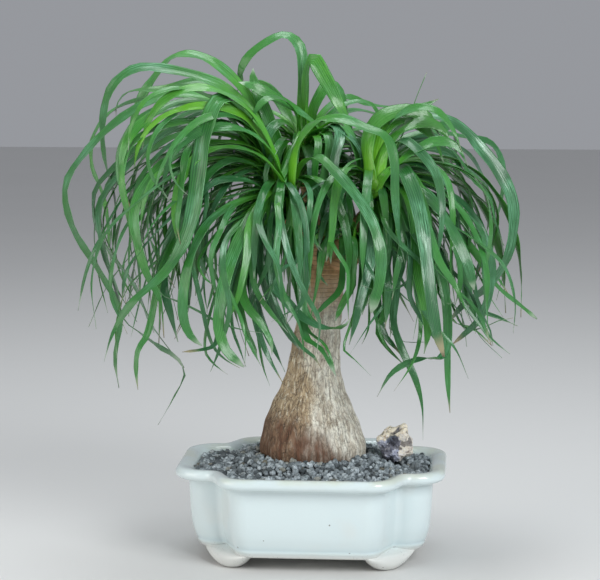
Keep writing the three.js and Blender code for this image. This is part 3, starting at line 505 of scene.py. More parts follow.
def glazeFinish():
    # Pale celadon glaze: greener where it is thin on edges, bluer where it pools, with iron specks
    f = Finish("celadonGlaze", pot["glaze"])
    z = f.millimetres("Z")
    cloud, fine = f.noise(9, 3), f.noise(60, 4)
    rimEdge = z.step(*pot["thinOnRim"]) * f.noise(26, 3).step(0.38, 0.6)
    ledge = z.step(*pot["thinUnderLedge"]) * z.step(*pot["thinOverBase"])
    pool = (z.step(*pot["poolsAt"]) * 0.5 + cloud.step(0.55, 0.75) * 0.25).atMost(1)
    f.over(pool, pot["glazePool"])
    f.over(rimEdge * 0.7 + ledge * 0.12, pot["glazeThin"])
    f.over(f.noise(18, 2).step(0.58, 0.74) * 0.35, pot["glazeCloud"])
    f.over(z.step(*pot["warmAt"]) * 0.8, pot["glazeFoot"])
    dot = f.cells(pot["specksPerMetre"])
    chosen = f.part("X", f.cells(pot["specksPerMetre"], out="Color"))
    low = z.step(*pot["specksGatherAt"])
    speck = dot.step(0.17, 0.09) * (chosen + low * 0.1).step(0.95, 0.96) * (0.55 + fine)
    dust = f.cells(pot["dustPerMetre"]).step(0.26, 0.12) * f.noise(60, 2).step(0.5, 0.6) * low * 0.8
    speck = speck + dust
    f.over(speck.atMost(1) * 0.85, pot["speck"])
    f.relief(fine * 0.5 + f.noise(220, 2) * 0.25 - speck * 0.5, 0.0004, 0.35)
    return f.done(Roughness=0.13 + fine * 0.1 + speck.atMost(1) * 0.3, IOR=1.5, CoatWeight=0.4,
                  CoatRoughness=0.06)


def drilled(piece, radius, x):
    # Cuts an upright hole through the pot's floor
    bpy.ops.mesh.primitive_cylinder_add(
        vertices=pot["drillSides"], radius=radius / 1000, depth=pot["drillLength"] / 1000,
        location=toFrame(np.array([x, 0.0, pot["drillMiddle"]])))
    drill = bpy.context.object
    cut = piece.modifiers.new("drain", "BOOLEAN")
    cut.operation = "DIFFERENCE"
    cut.solver = "EXACT"
    cut.object = drill
    shaped = bpy.data.meshes.new_from_object(piece.evaluated_get(bpy.context.evaluated_depsgraph_get()))
    piece.modifiers.clear()
    piece.data = shaped
    bpy.data.objects.remove(drill)


glaze = glazeFinish()
potPoints, potFaces, _ = joined([(*makePotSkin(), {})])
glazedPot = makePiece("glazed_pot", ["pot"], glaze, potPoints, potFaces)
for x in (-pot["drainX"], pot["drainX"]):
    drilled(glazedPot, pot["drainRadius"], x)
feet = [(*makeFootSkin(x, y), {}) for x, y in ((1, 1), (-1, 1), (-1, -1), (1, -1))]
footPoints, footFaces, _ = joined(feet)
makePiece("glazed_feet", ["pot"], glaze, footPoints, footFaces)


# Trunk

trunk = {
    # height, half width, sideways shift
    "profile": [
        [64, 30, 1], [70, 41, 1], [80, 47, 1], [92, 48.6, 0.5], [104, 48.2, 0], [114, 45.6, -0.8],
        [124, 42.2, -1.4], [134, 38, -1.7], [144, 33.6, -1.8], [154, 29.2, -1.2], [166, 25.6, -0.2],
        [182, 23, 1.6], [202, 21, 3.8], [226, 18.7, 7.6], [248, 16.8, 10.2], [268, 14.6, 12], [284, 11, 13],
    ],
    "flatten": 0.94,
    "around": 360,
    "rows": 250,
    "forkShift": 12,
    "forkHeight": 264,
    "branches": [
        {"head": "left", "from": 11, "to": 8.2, "dip": 4},
        {"head": "right", "from": 11, "to": 8.8, "dip": 5},
        {"head": "mid", "from": 9, "to": 7.6, "dip": -6},
        {"head": "low", "from": 6.5, "to": 5.6, "dip": 2},
    ],
    "barkWaves": [(7, 19, 1), (13, -27, 0.7), (0, 3.1, 0.5)],  # turns round, climb, share
    "barkDepth": 0.64,
    "fissure": 0.5,
    "fissures": [62, 45],  # how many run round the trunk, in two sets
    "fissureBend": 2.6,
    "fissureTo": (250, 200),
    "plates": 0.45,
    "ringDepth": 0.22,
    "ringPitch": 1.5,
    "ringsFrom": (205, 250),
    "branchInset": 5,
    "branchScars": 0.04,
    "tan": (0.57, 0.445, 0.29),
    # pale: colour of the painted highlight on the right side of the trunk, where the light falls
    "pale": (0.92, 0.89, 0.78),
    "grain": (0.30, 0.205, 0.115),
    "paleGrain": (0.92, 0.87, 0.72),
    "brown": (0.15, 0.068, 0.038),
    "neck": (0.56, 0.34, 0.18),
    "scar": (0.13, 0.075, 0.04),
    "crack": (0.075, 0.05, 0.032),
    # heights from none to full of what the bark does, and where across it a painted highlight turns it paler
    "brownBelow": (153, 131),
    "neckFrom": (240, 280),
    "scarsFrom": (210, 250),
    "cracksBelow": (262, 220),
    "highlightFromX": 4,
}


def trunkAt(z):
    # Half width and sideways shift of the trunk at heights
    rows = np.array(trunk["profile"])
    return np.interp(z, rows[:, 0], rows[:, 1]), np.interp(z, rows[:, 0], rows[:, 2])


def makeTrunkSkin():
    # Radius over angle and height: the profile, a few broad waves, low plates, leaf rings on the neck,
    # and two sets of narrow fissures at the crests of sin(count * angle + bend), bent and broken off
    # by noise
    rows = np.array(trunk["profile"])
    dense, _ = curveThrough(rows)
    z = np.linspace(rows[0, 0], rows[-1, 0], trunk["rows"])
    radius, shift = np.interp(z, dense[:, 0], dense[:, 1]), np.interp(z, dense[:, 0], dense[:, 2])
    a, h = np.meshgrid(anglesRound(trunk["around"]), z)
    waves = sum(share * np.sin(turns * a + h / climb) for turns, climb, share in trunk["barkWaves"])
    around = np.stack([np.cos(a) * radius[:, None], np.sin(a) * radius[:, None], h * 0.45], -1)
    fissure = 0 * h
    for k, count in enumerate(trunk["fissures"]):
        bend = trunk["fissureBend"] * layeredNoise(around, 14, 3, 41 + 10 * k)
        gaping = smoothStep(layeredNoise(around, 7, 2, 45 + 10 * k), -0.45, 0.3)
        fissure = np.minimum(fissure, -smoothStep(np.sin(count * a + bend), 0.74, 0.98) * gaping)
    fissure = fissure * smoothStep(h, *trunk["fissureTo"])
    plates = layeredNoise(around * [1, 1, 0.6], 12, 3, 71) * trunk["plates"]
    ringWave = np.sin(h * trunk["ringPitch"] + 2.2 * layeredNoise(around, 30, 2, 65))
    rings = trunk["ringDepth"] * ringWave * smoothStep(h, *trunk["ringsFrom"])
    relief = trunk["barkDepth"] * waves + trunk["fissure"] * fissure + plates + rings
    bumped = radius[:, None] + relief
    x = shift[:, None] + bumped * np.cos(a)
    y = trunk["flatten"] * bumped * np.sin(a)
    points, faces = closedLoft(np.stack([x, y, h], -1))
    # crack: how deep the fissures are, which the finish darkens as painted shade
    return points, faces, {"crack": np.append(-fissure.ravel(), [0, 0])}


# Front view that the leaf routes are read in

view = {
    "focal": 2100,  # picture steps, for a picture 600 wide and 580 high
    "middle": [300, 290],
    "eye": [-12, -1900, 491],
    "tiltDown": 7.4,
}

# where the heads sit (picture point and depth), how tall their sheaths stand and how thick they are
heads = {
    "left": {"at": [288, 196, -12], "bud": 46, "thick": 11},
    "right": {"at": [371, 196, -8], "bud": 52, "thick": 12},
    "mid": {"at": [303, 152, 22], "bud": 34, "thick": 10},
    "low": {"at": [353, 246, -24], "bud": 22, "thick": 7.5},
}


def fromPicture(place, depth):
    # A picture point of the front view at a depth behind the pot's middle, before the plant's turn
    s, c = np.sin(np.radians(view["tiltDown"])), np.cos(np.radians(view["tiltDown"]))
    across = (place[0] - view["middle"][0]) / view["focal"]
    up = -(place[1] - view["middle"][1]) / view["focal"]
    steps = (depth - view["eye"][1]) / (c + up * s)
    return np.array([view["eye"][0] + steps * across, depth, view["eye"][2] + steps * (up * c - s)])


def headPoint(name):
    return fromPicture(heads[name]["at"][:2], heads[name]["at"][2])


def stemRings(points, start, end, around=20, steps=26):
    # Round section carried along a curve, its radius going evenly from start to end
    curve, _ = curveThrough(points)
    line = evenSteps(curve, steps)
    tangent = unit(np.gradient(line, axis=0))
    side = unit(np.array([1.0, 0, 0]) - tangent * tangent[:, :1])
    front = np.cross(tangent, side)
    angle = anglesRound(around)
    radius = np.linspace(start, end, steps)[:, None, None]
    ring = side[:, None] * np.cos(angle)[None, :, None] + front[:, None] * np.sin(angle)[None, :, None]
    return line[:, None] + ring * radius


def makeBranchSkin(branch):
    # Bare branch from the fork to its head, with level scars where leaves have dropped
    fork = np.array([trunk["forkShift"], 0, trunk["forkHeight"]])
    end = headPoint(branch["head"]) - [0, 0, trunk["branchInset"]]
    middle = (fork + end) / 2 - [0, 0, branch["dip"]]
    rings = stemRings([fork, middle, end - [0, 0, 8], end], branch["from"], branch["to"])
    scars = 1 + trunk["branchScars"] * np.sin(np.linspace(0, 60, len(rings)))[:, None, None]
    line = rings.mean(1, keepdims=True)
    points, faces = closedLoft(line + (rings - line) * scars)
    return points, faces, {"crack": 0.0}


def barkFinish():
    # Corky bark: tan, paler to the right with a painted highlight, with fine upright cracks and painted
    # shade in the fissures, red brown over the soil and orange brown with faint leaf scars on the neck
    f = Finish("corkyBark", trunk["tan"])
    x, z = f.millimetres("X"), f.millimetres("Z")
    upright = f.stretched((1, 1, 0.14))
    grain = f.noise(260, 5, upright, 0.62)
    broad = f.noise(34, 3, f.stretched((1, 1, 0.5)))
    swaying = f.node("ShaderNodeTexNoise", {}, {"Vector": f.place, "Scale": 130, "Detail": 3}, "Color")
    sway = f.node("ShaderNodeVectorMath", {"operation": "SCALE"}, {0: swaying, "Scale": 0.005})
    bent = f.node("ShaderNodeVectorMath", {"operation": "ADD"}, {0: f.stretched((1, 1, 0.3)), 1: sway})
    net = f.cells(300, "DISTANCE_TO_EDGE", bent).step(0.12, 0.02) * f.noise(120, 3).step(0.36, 0.56)
    fineNet = f.cells(620, "DISTANCE_TO_EDGE", bent).step(0.16, 0.03) * f.noise(170, 3).step(0.40, 0.56)
    hair = (net * 0.9 + fineNet * 0.7).atMost(1)
    # painted highlight: paler towards the right, where the light falls on the trunk
    paintedHighlight = (broad + (x - trunk["highlightFromX"]) * 0.009).step(0.38, 0.66)
    f.over(paintedHighlight, trunk["pale"])
    f.over(grain.step(0.60, 0.40) * 0.5, trunk["grain"])
    f.over(f.noise(420, 4, upright, 0.65).step(0.52, 0.64) * 0.6, trunk["paleGrain"])
    # the brown stands lower to the right
    height = z + broad * 40 + (x - 8) * 0.2 + (x - 16).atLeast(0) * 0.8
    patchy = 0.66 + f.noise(150, 5, upright, 0.65).step(0.36, 0.62) * 0.32
    f.over(height.step(*trunk["brownBelow"]) * patchy, trunk["brown"])
    neck = (z + f.noise(50, 3) * 40).step(*trunk["neckFrom"])
    f.over(neck, trunk["neck"])
    ring = (z * trunk["ringPitch"] + f.noise(34, 3) * 14).wave().step(0.5, 0.98)
    scar = ring * z.step(*trunk["scarsFrom"]) * broad.step(0.3, 0.6)
    f.over(scar * 0.5, trunk["scar"])
    # dark crack lines of the bark's own, plus painted shade that deepens with the fissures' depth
    cracks = hair * 0.62 * z.step(*trunk["cracksBelow"]) + f.field("crack") * 0.42
    # the dark cracks are fainter under the painted highlight
    dark = cracks.atMost(1) * (1 - paintedHighlight * 0.3)
    f.over(dark, trunk["crack"])
    f.relief(grain * 0.6 + broad * 0.3 - dark * 0.9 - scar * 0.4, 0.001, 0.8)
    return f.done(Roughness=0.72 + grain * 0.2, IOR=1.4)


trunkParts = [makeTrunkSkin()] + [makeBranchSkin(branch) for branch in trunk["branches"]]
trunkPoints, trunkFaces, trunkFields = joined(trunkParts)
makePiece("bark_trunk", ["trunk"], barkFinish(), turned(trunkPoints), trunkFaces, trunkFields)


# Rock

rock = {
    "at": [75.5, -7, 102.5],
    "size": [15, 13, 14.5],
    "square": 3.4,
    "tilt": 18,
    "waves": [4.3, 3.7, 7.1, 5],
    "roughness": 0.09,
    "detail": 0.15,
    "peak": [0.62, -0.1, 0.78],
    "peakRise": 0.22,
    "peakSpread": 0.09,
    "body": (0.34, 0.36, 0.49),
    "grain": (0.47, 0.49, 0.58),
    # brown: painted shade on the left edge of the rock, next to the trunk
    "brown": (0.22, 0.14, 0.085),
    "shadeBelowX": 67,
    "crust": (0.88, 0.80, 0.64),
    "crustSpots": (0.40, 0.28, 0.18),
    "creamFromX": 86,
    "white": (0.80, 0.79, 0.80),
    # painted shade of a cavity in front, which the mesh does not have
    "hollowShade": (0.035, 0.05, 0.075),
    "hollowAt": [81.5, 108.5],
    "hollowInFrontOf": (-6, -10),
    "pit": (0.045, 0.04, 0.05),
}


def icoPoints(steps):
    # Unit ball of triangles
    ball = bmesh.new()
    bmesh.ops.create_icosphere(ball, subdivisions=steps, radius=1)
    points = np.array([v.co for v in ball.verts])
    faces = np.array([[v.index for v in face.verts] for face in ball.faces])
    ball.free()
    return unit(points), faces


def makeRockSkin():
    # A ball made squarer, |x|^n + |y|^n + |z|^n = 1, pushed in and out by two waves, broken up by layers
    # of noise, raised round one direction as a peak, and tilted up to the right
    way, faces = icoPoints(6)
    x, y, z = way.T
    wx, wy, wz, lean = rock["waves"]
    square = np.sum(np.abs(way) ** rock["square"], axis=1) ** (-1 / rock["square"])
    waves = np.sin(wx * x + 1.2) * np.sin(wy * y + 0.4) + 0.6 * np.sin(wz * z - lean * x)
    chips = layeredNoise(way, 0.5, 5, 71) - 0.8 * np.abs(layeredNoise(way, 0.22, 4, 77))
    peak = np.exp(-np.sum((way - unit(np.array(rock["peak"]))) ** 2, axis=1) / rock["peakSpread"])
    length = square * (1 + rock["roughness"] * waves + rock["detail"] * chips + rock["peakRise"] * peak)
    x, y, z = (way * length[:, None] * rock["size"]).T
    c, s = np.cos(np.radians(rock["tilt"])), np.sin(np.radians(rock["tilt"]))
    points = np.stack([x * c - z * s, y, x * s + z * c], -1)
    # the first field holds how deep the chips dent the surface; the finish darkens the dents with it as
    # painted shade
    return points + rock["at"], [faces], {"hollowShade": np.clip(-chips, 0, 1), "crown": z / rock["size"][2]}


def rockFinish():
    # Lava stone: violet grey with white grains and pits, painted shade of a cavity in front and in the
    # dents, painted shade in brown on the left edge next to the trunk, a cream right edge and a cream
    # crust on top
    f = Finish("crustedStone", rock["body"])
    x, y, z = (f.millimetres(axis) for axis in "XYZ")
    facingUp = f.part("Z", f.node("ShaderNodeNewGeometry", out="Normal"))
    patch = f.noise(110, 4)
    f.over(f.noise(420, 5, None, 0.7).step(0.36, 0.62), rock["grain"])
    # painted shade in brown on the left edge, next to the trunk
    brown = (x - rock["shadeBelowX"]) * -0.2 + (patch - 0.5) * 2
    f.over(brown.step(0.0, 0.7) * 0.8, rock["brown"])
    crust = (f.field("crown") * 1.1 + facingUp * 0.2 + (patch - 0.5) * 2.4).step(0.62, 0.9)
    rind = f.blend(f.noise(300, 5, None, 0.65).step(0.48, 0.66), rock["crust"], rock["crustSpots"])
    f.over(crust, rind)
    cream = ((x - rock["creamFromX"]) * 0.16 + (patch - 0.5) * 2.2).step(0.0, 0.5)
    f.over(cream * 0.75, rind)
    white = f.noise(600, 3).step(0.54, 0.62) * f.noise(120, 2).step(0.36, 0.56)
    f.over(white * 0.85, rock["white"])
    # painted shade: a dark cavity painted on the front, where the surface has none
    beside, above = x - rock["hollowAt"][0], z - rock["hollowAt"][1]
    hollowShade = (beside * beside + above * above + (f.noise(260, 4) - 0.5) * 90).step(38, 12)
    f.over(hollowShade * y.step(*rock["hollowInFrontOf"]) * 0.85, rock["hollowShade"])
    # pits are the stone's own dark pores; the dents get painted shade by their depth
    pits = f.cells(330).step(0.28, 0.12) * f.noise(90, 3).step(0.4, 0.62)
    f.over((pits + f.field("hollowShade").step(0.25, 0.6) * 0.7).atMost(1), rock["pit"])
    f.relief(f.noise(320, 5) * 0.7 - pits, 0.0009, 0.9)
    return f.done(Roughness=0.84 + patch * 0.12)


rockPoints, rockFaces, rockFields = makeRockSkin()
makePiece("crusted_rock", ["rock"], rockFinish(), turned(rockPoints), rockFaces, rockFields)


# Gravel

gravel = {
    "edgeTop": 84,
    "moundTop": 95,
    "mound": [46, 88],
    "wallInset": 14.6,
    "bottom": 68.6,
    "bedBelow": 4.6,
    # Heaps in the top, as the solid has them: cells, how far they stray, heights of peaks and valleys
    "cells": [24, 20],
    "stray": 0.27,
    "peak": [1.1, 2.5],
    "valley": [-2.9, -1.3],
    "scatter": [12.9898, 78.233, 43758.5453],
    "heapShare": 0.62,
    "heapWidth": 2.6,
    "spacing": 5.35,
    "rowShare": 0.866,
    "jitter": 1.15,
    "rise": 0.8,
    "radius": [2.1, 3.6],
    "flatter": ([0.8, 0.8, 0.72], [1.2, 1.12, 1.0]),
    "layers": [-1.5, -4.4],
    "wallGap": 2.2,
    "trunkGap": 0.72,
    "rockGap": 11,
    "underRock": 80,
    "lump": 0.4,
    # dark: base colour, which the bed and the lower grains keep as painted shade in the gaps
    "dark": (0.035, 0.042, 0.046),
    "grey": (0.18, 0.215, 0.235),
    "light": (0.60, 0.67, 0.71),
    "rust": (0.28, 0.25, 0.17),
    "mottle": (0.55, 0.55, 0.54),
    "pore": (0.03, 0.03, 0.032),
}


def gravelTopAt(x, y):
    # Height of the gravel: level at the wall, rising to the trunk
    fall = smoothStep(np.hypot(x, y), *gravel["mound"])
    return gravel["edgeTop"] + (gravel["moundTop"] - gravel["edgeTop"]) * (1 - fall)


def scatterAt(column, row):
    # Share from 0 to 1 for a place in the grid of heaps: what is left of a large sine wave
    byColumn, byRow, size = gravel["scatter"]
    wave = np.sin(column * byColumn + row * byRow) * size
    return wave - np.floor(wave)


def heapsAt(x, y):
    # Lift of the top at places: peaks in the cells and valleys at their corners, averaged with the
    # weight exp(-d^2 / 2w^2) of their distance d
    columns, rows = gravel["cells"]
    places = []
    for half, reach in ((0, gravel["valley"]), (0.5, gravel["peak"])):
        column, row = np.meshgrid(*(np.arange(count + 1 - 2 * half) + half for count in (columns, rows)))
        strayX, strayY = scatterAt(column, row), scatterAt(row + columns, column)
        atX = ((column + gravel["stray"] * (2 * strayX - 1)) / columns - 0.5) * 2 * pot["halfLength"]
        atY = ((row + gravel["stray"] * (2 * strayY - 1)) / rows - 0.5) * 2 * pot["halfDepth"]
        lift = reach[0] + (reach[1] - reach[0]) * scatterAt(column + rows, row + columns)
        places.append(np.stack([atX.ravel(), atY.ravel(), lift.ravel()]))
    atX, atY, lift = np.hstack(places)
    near = (x[:, None] - atX) ** 2 + (y[:, None] - atY) ** 2
    weight = np.exp(-near / (2 * gravel["heapWidth"] ** 2)) + 1e-12
    return weight @ lift / weight.sum(1)


def insideOutline(x, y, inset):
    # Even-odd test against the outline at an inset
    ring = potOutline(inset)[0]
    ax, ay = ring.T
    bx, by = np.roll(ring, -1, axis=0).T
    crosses = (ay > y[:, None]) != (by > y[:, None])
    at = ax + (bx - ax) * (y[:, None] - ay) / np.where(by == ay, 1e-9, by - ay)
    return np.sum(crosses & (x[:, None] < at), axis=1) % 2 == 1


def makeShadowBedSkin():
    # Bed under the loose grains, left dark as painted shade in the gaps between them: the outline
    # drawn in ring by ring to the middle
    scale = np.linspace(0.02, 1, 40)
    inset = gravel["wallInset"] + 0.3
    top = lobedRings(np.stack([0 * scale + inset, 0 * scale, scale], -1))
    top[..., 2] = gravelTopAt(top[..., 0], top[..., 1]) - gravel["bedBelow"]
    side = lobedRings([[20.2, 72, 1], [20.6, gravel["bottom"], 1], [20.6, gravel["bottom"], 0.02]])
    points, faces = closedLoft(np.concatenate([top, side]))
    return points, faces, {"tone": np.zeros(len(points)), "warm": np.zeros(len(points))}


def makeGrains():
    # Grains on a jittered triangular grid in two layers, each a small ball with its own three
    # radii, turn (a random quaternion as a matrix) and lumps
    rng = np.random.default_rng(5)
    ball, ballFaces = icoPoints(2)
    step = gravel["spacing"]
    places = []
    for layer, below in enumerate(gravel["layers"]):
        across = np.arange(-pot["halfLength"], pot["halfLength"], step)
        deep = np.arange(-pot["halfDepth"], pot["halfDepth"], step * gravel["rowShare"])
        x, y = np.meshgrid(across, deep)
        x = x + (np.arange(len(deep)) % 2)[:, None] * step / 2 + layer * step / 2
        y = y + layer * step * 0.3
        x, y = (c.ravel() + rng.uniform(-1, 1, c.size) * gravel["jitter"] for c in (x, y))
        size = rng.uniform(*gravel["radius"], x.size) * (1 - 0.06 * layer)
        inside = insideOutline(x, y, gravel["wallInset"] + gravel["wallGap"] + layer)
        rise = rng.uniform(-gravel["rise"], gravel["rise"], x.size)
        z = gravelTopAt(x, y) + below + rise + heapsAt(x, y) * gravel["heapShare"]
        halfWidth, shift = trunkAt(z)
        plantX, plantY, _ = turned(np.stack([x, y, z], -1), -plantTurn).T
        clear = np.hypot(plantX - shift, plantY / trunk["flatten"]) > halfWidth + size * gravel["trunkGap"]
        nearRock = np.hypot(plantX - rock["at"][0], plantY - rock["at"][1]) < gravel["rockGap"]
        keep = inside & clear & ~(nearRock & (z > gravel["underRock"]))
        places.append(np.stack([x, y, z, size, 0 * x + layer], -1)[keep])
    places = np.vstack(places)
    places, lower = places[:, :4], places[:, 4] > 0
    count = len(places)
    radii = places[:, 3:] * rng.uniform(*gravel["flatter"], (count, 3))
    spin = rng.normal(size=(count, 4))
    w, x, y, z = unit(spin).T
    turn = np.stack([
        1 - 2 * (y * y + z * z), 2 * (x * y - z * w), 2 * (x * z + y * w),
        2 * (x * y + z * w), 1 - 2 * (x * x + z * z), 2 * (y * z - x * w),
        2 * (x * z - y * w), 2 * (y * z + x * w), 1 - 2 * (x * x + y * y),
    ], -1).reshape(count, 3, 3)
    own = ball[None] + rng.uniform(0, 30, (count, 1, 3))
    lumps = 1 + gravel["lump"] * (cellNoise(own, 0.62, 21) + 0.6 * cellNoise(own, 0.3, 22))
    grains = ball[None] * radii[:, None] * lumps[..., None]
    grains = np.einsum("nij,nkj->nki", turn, grains) + places[:, None, :3]
    starts = np.arange(count)[:, None, None] * len(ball)
    faces = (ballFaces[None] + starts).reshape(-1, 3)
    tone = 0.15 + 0.85 * rng.beta(1.5, 1.8, count)
    # the lower layer is darkened to a third: painted shade in the gaps between the top grains
    tone = np.repeat(np.where(lower, tone * 0.3, tone), len(ball))
    warm = np.repeat(rng.uniform(0, 1, count) ** 2, len(ball))
    print(f"gravel: {count} grains")
    return grains.reshape(-1, 3), [faces], {"tone": tone, "warm": warm}


def gravelFinish():
    # Porous grey granules, each with its own tone, a few of them rusty. The bed and the lower layer
    # stay dark as painted shade in the gaps.
    f = Finish("porousGravel", gravel["dark"])
    tone, warm = f.field("tone"), f.field("warm")
    mottle = f.noise(420, 4)
    f.over(tone.step(0.0, 0.7), gravel["grey"])
    lighter = (tone * 1.5 - 0.35).atLeast(0).atMost(1)
    f.over(lighter * mottle.step(0.35, 0.6), gravel["light"])
    f.over(warm.step(0.78, 0.95) * 0.5, gravel["rust"])
    f.over(mottle.step(0.6, 0.72) * 0.35 * tone, gravel["mottle"])
    pores = f.cells(900).step(0.32, 0.15) * f.noise(300, 2).step(0.42, 0.6)
    f.over(pores * 0.75, gravel["pore"])
    f.relief(f.noise(900, 4) * 0.8 - pores, 0.0006, 0.9)
    return f.done(Roughness=0.82 + mottle * 0.15)


gravelPoints, gravelFaces, gravelFields = joined([makeShadowBedSkin(), makeGrains()])
makePiece("loose_gravel", ["gravel"], gravelFinish(), gravelPoints, gravelFaces, gravelFields,
          smooth=False)


# Leaves

leaf = {
    "thickness": 0.75,
    "baseWidth": 0.7,
    "tipWidth": (0.22, 0.46),
    "pointed": 0.25,
    "fullness": 1.07,
    "channel": 0.16,
    "tailChannel": 0.075,
    "ripple": 0.05,
    "rippleLength": 34,
    "twist": 24,
    "toneFrom": 205,
    "toneOver": 300,
    "toneSpread": 0.25,
    "toneMost": 0.84,
    "noDryTip": -0.8,
    "rowLength": 6.5,
    "rows": [14, 46],
    "across": 7,
    "trunkClearance": 5,
    "lowestPoint": 106,
    "frontmost": -132,
    "pastFrontmost": 0.1,
    "trunkTop": 285,
    "linePieces": 7,
    "startSlope": [50, 76],
    "endSlope": [-94, -84],
    "sway": 0.45,
    "roll": [-15, 35],
    "budAround": 24,
    "budRows": 18,
    "budTaper": (0.95, 0.22),
    "budFold": 0.12,
}

